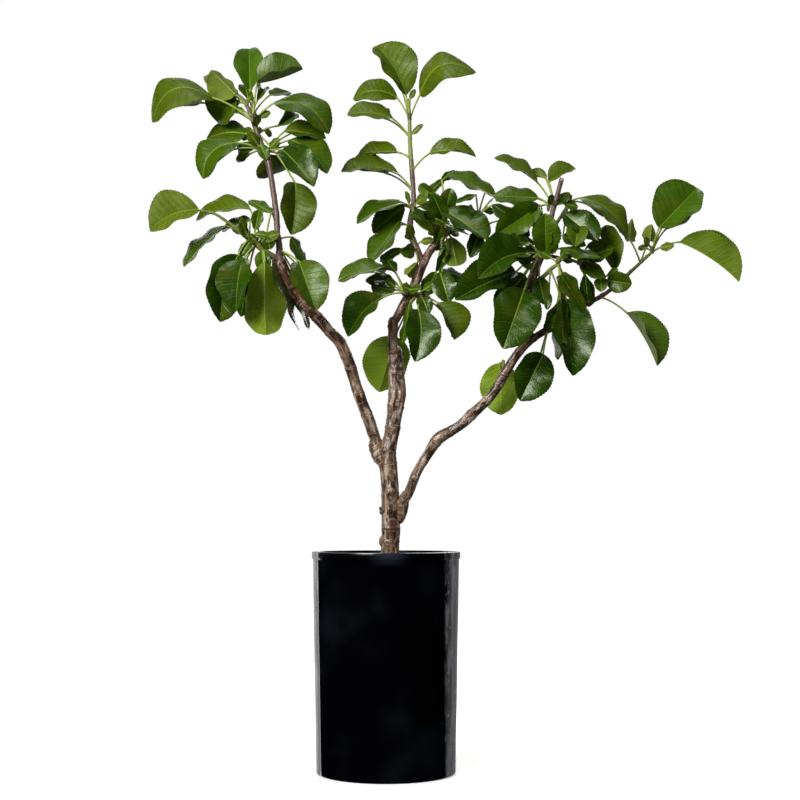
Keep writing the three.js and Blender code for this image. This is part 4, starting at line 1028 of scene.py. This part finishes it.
def leafFinish():
    made, start = newFinish("pearLeaf")
    t, s, side = markOf(start, "leafPlace").parts()
    reach, tintDull = markOf(start, "leafSize").parts(2)
    top, below = markOf(start, "leafTop", "Color"), markOf(start, "leafUnder", "Color")
    under = side.maths("GREATER_THAN", side, 0.5)
    a = abs(s)
    rib = band(a * reach / (1.35 - t), 0.95, 0.35)  # a * reach is in millimetres from the midrib
    mottle, broad = grain(start, 75, 3), grain(start, 22, 2)
    vein = leafSet["veins"] * t - leafSet["slant"] * a + 0.35 * a * a + 1.3 * broad + 0.3 * mottle
    nearVein = abs(vein.maths("FRACT", vein) - 0.5)
    sideVein = band(nearVein, 0.4, 0.5) * band(a, 0.97, 0.6)
    # painted shade: the top darkens along the sunken side veins, so the panels between them read lighter
    veinGrooveShade = band(nearVein, 0.1, 0.46) * band(a, 0.04, 0.3)
    edge = band(a, 0.9, 1.0) * band(t, 0.0, 0.05)
    topTint = layered(
        top, (band(mottle, 0.35, 0.65) * 0.55, blend(0.35 * broad + 0.2, top, colour(6, 26, 1))),
        (band(grain(start, 34, 4), 0.48, 0.76) * 0.4, colour(98, 92, 22)),
        (veinGrooveShade * 0.22, colour(14, 40, 0)), (sideVein * 0.12, colour(120, 150, 44)),
        (edge * 0.5, colour(20, 36, 2)), (rib * 0.6, colour(130, 158, 52)))
    underTint = layered(
        below, (band(mottle, 0.3, 0.7) * 0.25, colour(128, 140, 76)),
        (sideVein * 0.18, colour(136, 154, 66)), (rib * 0.75, colour(156, 172, 78)))
    stalkTint = blend(mottle, colour(112, 132, 44), colour(160, 172, 84))
    tint = layered(topTint, (under, underTint), (band(t, 0.0, -0.03), stalkTint))
    dull = tintDull + 0.16 * mottle + 0.2 * under + 0.1 * rib
    height = grain(start, 900) * 0.1 - sideVein * 0.16 * (1 - 2 * under) + mottle * 0.7 + broad * 0.8
    coat = band(tintDull, 0.38, 0.2) * (0.3 - 0.3 * under)
    close(start, {"Base Color": tint, "Roughness": dull, "Specular IOR Level": 0.3, "Coat Weight": coat,
                  "Specular Tint": (0.85, 1, 0.6, 1), "Coat Roughness": 0.2}, height, 0.0018, 0.9)
    return made


stemTints = {"woody": colour(72, 50, 42), "gloss": colour(118, 98, 90), "young": colour(112, 122, 48),
             "scar": colour(60, 44, 36), "cut": colour(196, 180, 150)}


def stemFinish(tints):
    made, start = newFinish("youngStem")
    ring, green, cutEnd = markOf(start, "stemMark").parts()
    cloud = grain(start, 120, 4)
    specks = band(grain(start, 620, 2, (0.7, 0.7, 1.5)), 0.62, 0.72)
    tint = layered(
        blend(cloud * 0.6, tints["woody"], tints["gloss"]), (green, tints["young"]),
        (specks * 0.4, tints["cut"]), (ring * (0.6 - 0.45 * green), tints["scar"]), (cutEnd, tints["cut"]))
    close(start, {"Base Color": tint, "Roughness": 0.36 + 0.2 * cloud}, cloud + ring * 0.5, 0.0008, 0.5)
    return made


stemSet = {**barkSet, "ringStep": 15, "ringWidth": 1.2, "ringProud": 0.55, "furrow": 0.16, "crack": 0.08,
           "grit": 0.05, "knotStep": 17, "knotSize": 1.4, "knotProud": 0.7,
           "rowEvery": 1.1, "around": 20, "sideGreenFrom": 0.4}


def stemSkin(stations, seed, greenAt, isCut, s=stemSet):
    length = stationLength(stations)
    rows = max(12, int(length / s["rowEvery"]))
    grid, mark, share, _ = limbRings(stations, rows, s["around"], barkRelief(s, seed, length + 8))
    green = np.clip((share - greenAt) / 0.15, 0, 1)
    cutEnd = (share > 0.985) * float(isCut)
    ends = [0, -1]
    skin = outward(skinned(grid))
    skin["stemMark"] = marked(
        grid, (mark, [0, 0]), (green[:, None], green[ends]), (cutEnd[:, None], cutEnd[ends]))
    return skin


budSet = {"big": 4.2, "small": 3.6, "bigFrom": 3, "wide": 0.42, "rows": 9, "around": 10}


# A bud is a small pointed ball beside a leaf, big where a spur has three leaves or more. Over b,
# from its foot to its tip along its way, the radius is wide size sin(pi b^0.62)^0.9.
def budSkin(place, way, size, seed, s=budSet):
    way = unit(way + np.random.default_rng(seed).normal(0, 0.2, 3))
    across = unit(np.cross(way, [0.3, 0.9, 0.2]))
    b = np.linspace(0.08, 0.97, s["rows"])[:, None]
    radius = size * s["wide"] * np.sin(math.pi * b ** 0.62) ** 0.9
    grid = carried(place + way * b * size, across, np.cross(way, across), radius, turns(s["around"]))
    skin = outward(skinned(grid))
    skin["stemMark"] = np.tile([0.35, 0.25, 0.0], (len(skin["places"]), 1))
    return skin


youngSet = {"least": 3, "count": 3, "stalk": (7, 13), "blade": (12, 19), "noneAt": [[23, 653], [184, 571]]}
youngTint = {"dark": "mid", "mid": "olive", "olive": "pale", "fresh": "pale"}  # lighter than the old leaves


# Young leaves fill the middle of a bud with many leaves: each rises from it at a seeded turn,
# way = (cos a, sin a, rise), and its blade dips a little.
def youngLeaves(origin, seed, tint, s=youngSet):
    random = np.random.default_rng(seed)
    root = placed(origin)
    first = random.uniform(0, 2 * math.pi)
    for n in range(s["count"]):
        a = first + 2 * math.pi * (n + random.uniform(-0.3, 0.3)) / s["count"]
        way = unit(np.array([math.cos(a), math.sin(a), random.uniform(0.2, 1.1)]))
        stalkEnd = root + way * random.uniform(*s["stalk"])
        length = random.uniform(*s["blade"])
        tip = stalkEnd + unit(way + [0, 0, random.uniform(-0.7, 0.2)]) * length
        yield leafSkin(root, stalkEnd, tip, [0, 0.3 * length, 0.3 * length, "turned"], seed + n, tint)


spurSet = {"length": 6, "sunk": 1.5, "foot": 2.1, "end": 1.9, "rings": 3, "proud": 0.35,
           "rows": 26, "around": 14}


# A spur is the short ringed foot that the leaves of a bud grow from: its radius goes evenly from foot
# to end, with proud cos(2 pi rings share)^4 on top.
def spurSkin(origin, way, s=spurSet):
    share = np.linspace(0, 1, s["rows"])[:, None]
    along = unit(way)
    across = unit(np.cross(along, [0.1, 1, 0.2]))
    ringed = np.cos(2 * math.pi * share * s["rings"])
    radius = s["foot"] + (s["end"] - s["foot"]) * share + s["proud"] * ringed ** 4
    line = origin + along * (share * (s["length"] + s["sunk"]) - s["sunk"])
    grid = carried(line, across, np.cross(along, across), radius, turns(s["around"]))
    skin = outward(skinned(grid))
    skin["stemMark"] = marked(grid, (ringed ** 8, [1, 1]), (share * 0.7, [0, 0.7]), (0, [0, 0]))
    return skin


def plainName(node, ending):
    words = node.replace("_foliage", "").replace("_leaf", "").split("_")
    return words[0] + "".join(w.title() for w in words[1:]) + ending


# Two pieces for a spray, its leaves and its stems. The seed goes up by one for every leaf.
def growSpray(number, node, spray):
    stems, seed, numbers = spray["stems"], 1000 * (number + 1), stream(101 + number)
    leaves, shoots, behind = [], [], []
    for n, stations in enumerate(stems):
        greenAt = spray["greenFrom"] if n == 0 else stemSet["sideGreenFrom"]
        shoots.append(stemSkin(stations, seed + n, greenAt, spray.get("cutStem") == n))
    for bud, rows in spray["buds"]:
        budSize = budSet["big"] if len(rows) >= budSet["bigFrom"] else budSet["small"]
        for turn, row in enumerate(rows):
            tint = row[9] if len(row) > 9 else spray["tint"]
            origin = onStem(stems, bud, turn)
            seed += 1
            leaves.append(leafFromRow(bud, origin, row, seed, tint))
            hidden = rearRow(row, numbers)
            if hidden:
                behind.append((bud, turn + 0.5, hidden, tint))
            way = leafEnds(bud, origin, row)[0] - placed(origin)
            shoots.append(budSkin(placed(origin), unit(way) + [0, 0, 0.8], budSize, seed))
        if len(rows) >= youngSet["least"]:
            origin = onStem(stems, bud, 2)
            side = placed([*bud, origin[2]]) - placed(origin) + np.array([0, -2, 4])
            shoots.append(spurSkin(placed(origin), side))
            if bud not in youngSet["noneAt"]:
                leaves += youngLeaves(origin, 5000 + seed, youngTint[spray["tint"]])
    for bud, turn, row, tint in behind:
        seed += 1
        leaves.append(leafFromRow(bud, onStem(stems, bud, turn), row, seed, tint))
    makePiece(plainName(node, "Leaves"), leaves, leafLook, [node],
              ["leafPlace", "leafSize", "leafTop", "leafUnder"], sharp=55)
    makePiece(plainName(node, "Stems"), shoots, stemLook, [node], ["stemMark"])
    return len(leaves)


leafLook = leafFinish()
stemLook = stemFinish(stemTints)
leafCount = sum(growSpray(number, node, spray) for number, (node, spray) in enumerate(sprays.items()))
print(f"{leafCount} leaves")


# Floor and light

warmWhite = (1, 1, 0.95)
lightAim = (0.04, 0, 0.45)
lightSet = {  # place, size in metres, power in watts
    "key": ((-1.0, -1.6, 1.25), 0.9, 54), "fill": ((1.5, -1.4, 1.6), 0.5, 2),
    "top": ((0.0, -0.3, 2.3), 0.8, 10), "back": ((0.4, 1.9, 1.3), 1.0, 16)}

for name, (place, size, power) in lightSet.items():
    lamp = bpy.data.lights.new(name, "AREA")
    lamp.size, lamp.energy, lamp.color = size, power, warmWhite
    addAimed(name, lamp, place, lightAim)


# The backdrop is white to the camera. Gloss sees white only well behind the plant, over a wider
# arc on its right, with a bright strip where the white ends on its left. Matt surfaces see it
# dim, brightest from the front and above.
def studio():
    made = bpy.data.worlds.new("whiteStudio")
    scene.world = made
    made.use_nodes = True
    made.node_tree.nodes.clear()
    start = Wire(made.node_tree)
    x, y, z = start.node("ShaderNodeTexCoord", out="Generated").parts()
    rightSide = band(x, -0.1, 0.1)
    behind = band(y - (0.68 - 0.26 * rightSide), 0.0, 0.02) * (0.9 - 0.6 * rightSide)
    strip = band(abs(y - 0.695), 0.026, 0.012) * (1 - rightSide)
    gloss = behind + strip * 5.0
    soft = 0.08 + 0.36 * band(y, 0.0, -0.95) + 0.12 * band(z, -0.1, 0.9)
    light = soft + start.node("ShaderNodeLightPath", out="Is Glossy Ray") * (gloss - soft)
    light = light + start.node("ShaderNodeLightPath", out="Is Camera Ray") * (1.0 - light)
    shade = start.node("ShaderNodeBackground", {}, {"Color": (1, 1, 1, 1), "Strength": light})
    start.node("ShaderNodeOutputWorld", {}, {"Surface": shade})


studio()

floorSet = {"rings": (0.05, 0.3, 1, 3, 9), "around": 64, "height": -0.0002}


# The floor is a wide round sheet, r from the middle out, bright of itself, with a painted contact shadow
# where it glows less by the pot.
def layFloor(s):
    skin = skinned(onCircles(np.array(s["rings"])[:, None], turns(s["around"]), s["height"]))
    mesh = bpy.data.meshes.new("studioFloor")
    middle = skin["triangles"][:s["around"]]
    mesh.from_pydata(skin["places"].tolist(), [], [*skin["quads"].tolist(), *middle.tolist()])
    if mesh.polygons[0].normal.z < 0:
        mesh.flip_normals()
    made, start = newFinish("whiteFloor")
    x, y = onPiece(start).parts(2)
    glowWithPaintedShadow = blend(band(x * x + y * y, 0.007, 0.09), colour(190, 190, 190), colour(255, 255, 255))
    close(start, {"Base Color": (0.8, 0.8, 0.8, 1), "Roughness": 0.35,
                  "Emission Color": glowWithPaintedShadow, "Emission Strength": 0.85})
    mesh.materials.append(made)
    floor = addObject("studioFloor", mesh)
    floor.visible_glossy = False
    floor.visible_diffuse = False


layFloor(floorSet)
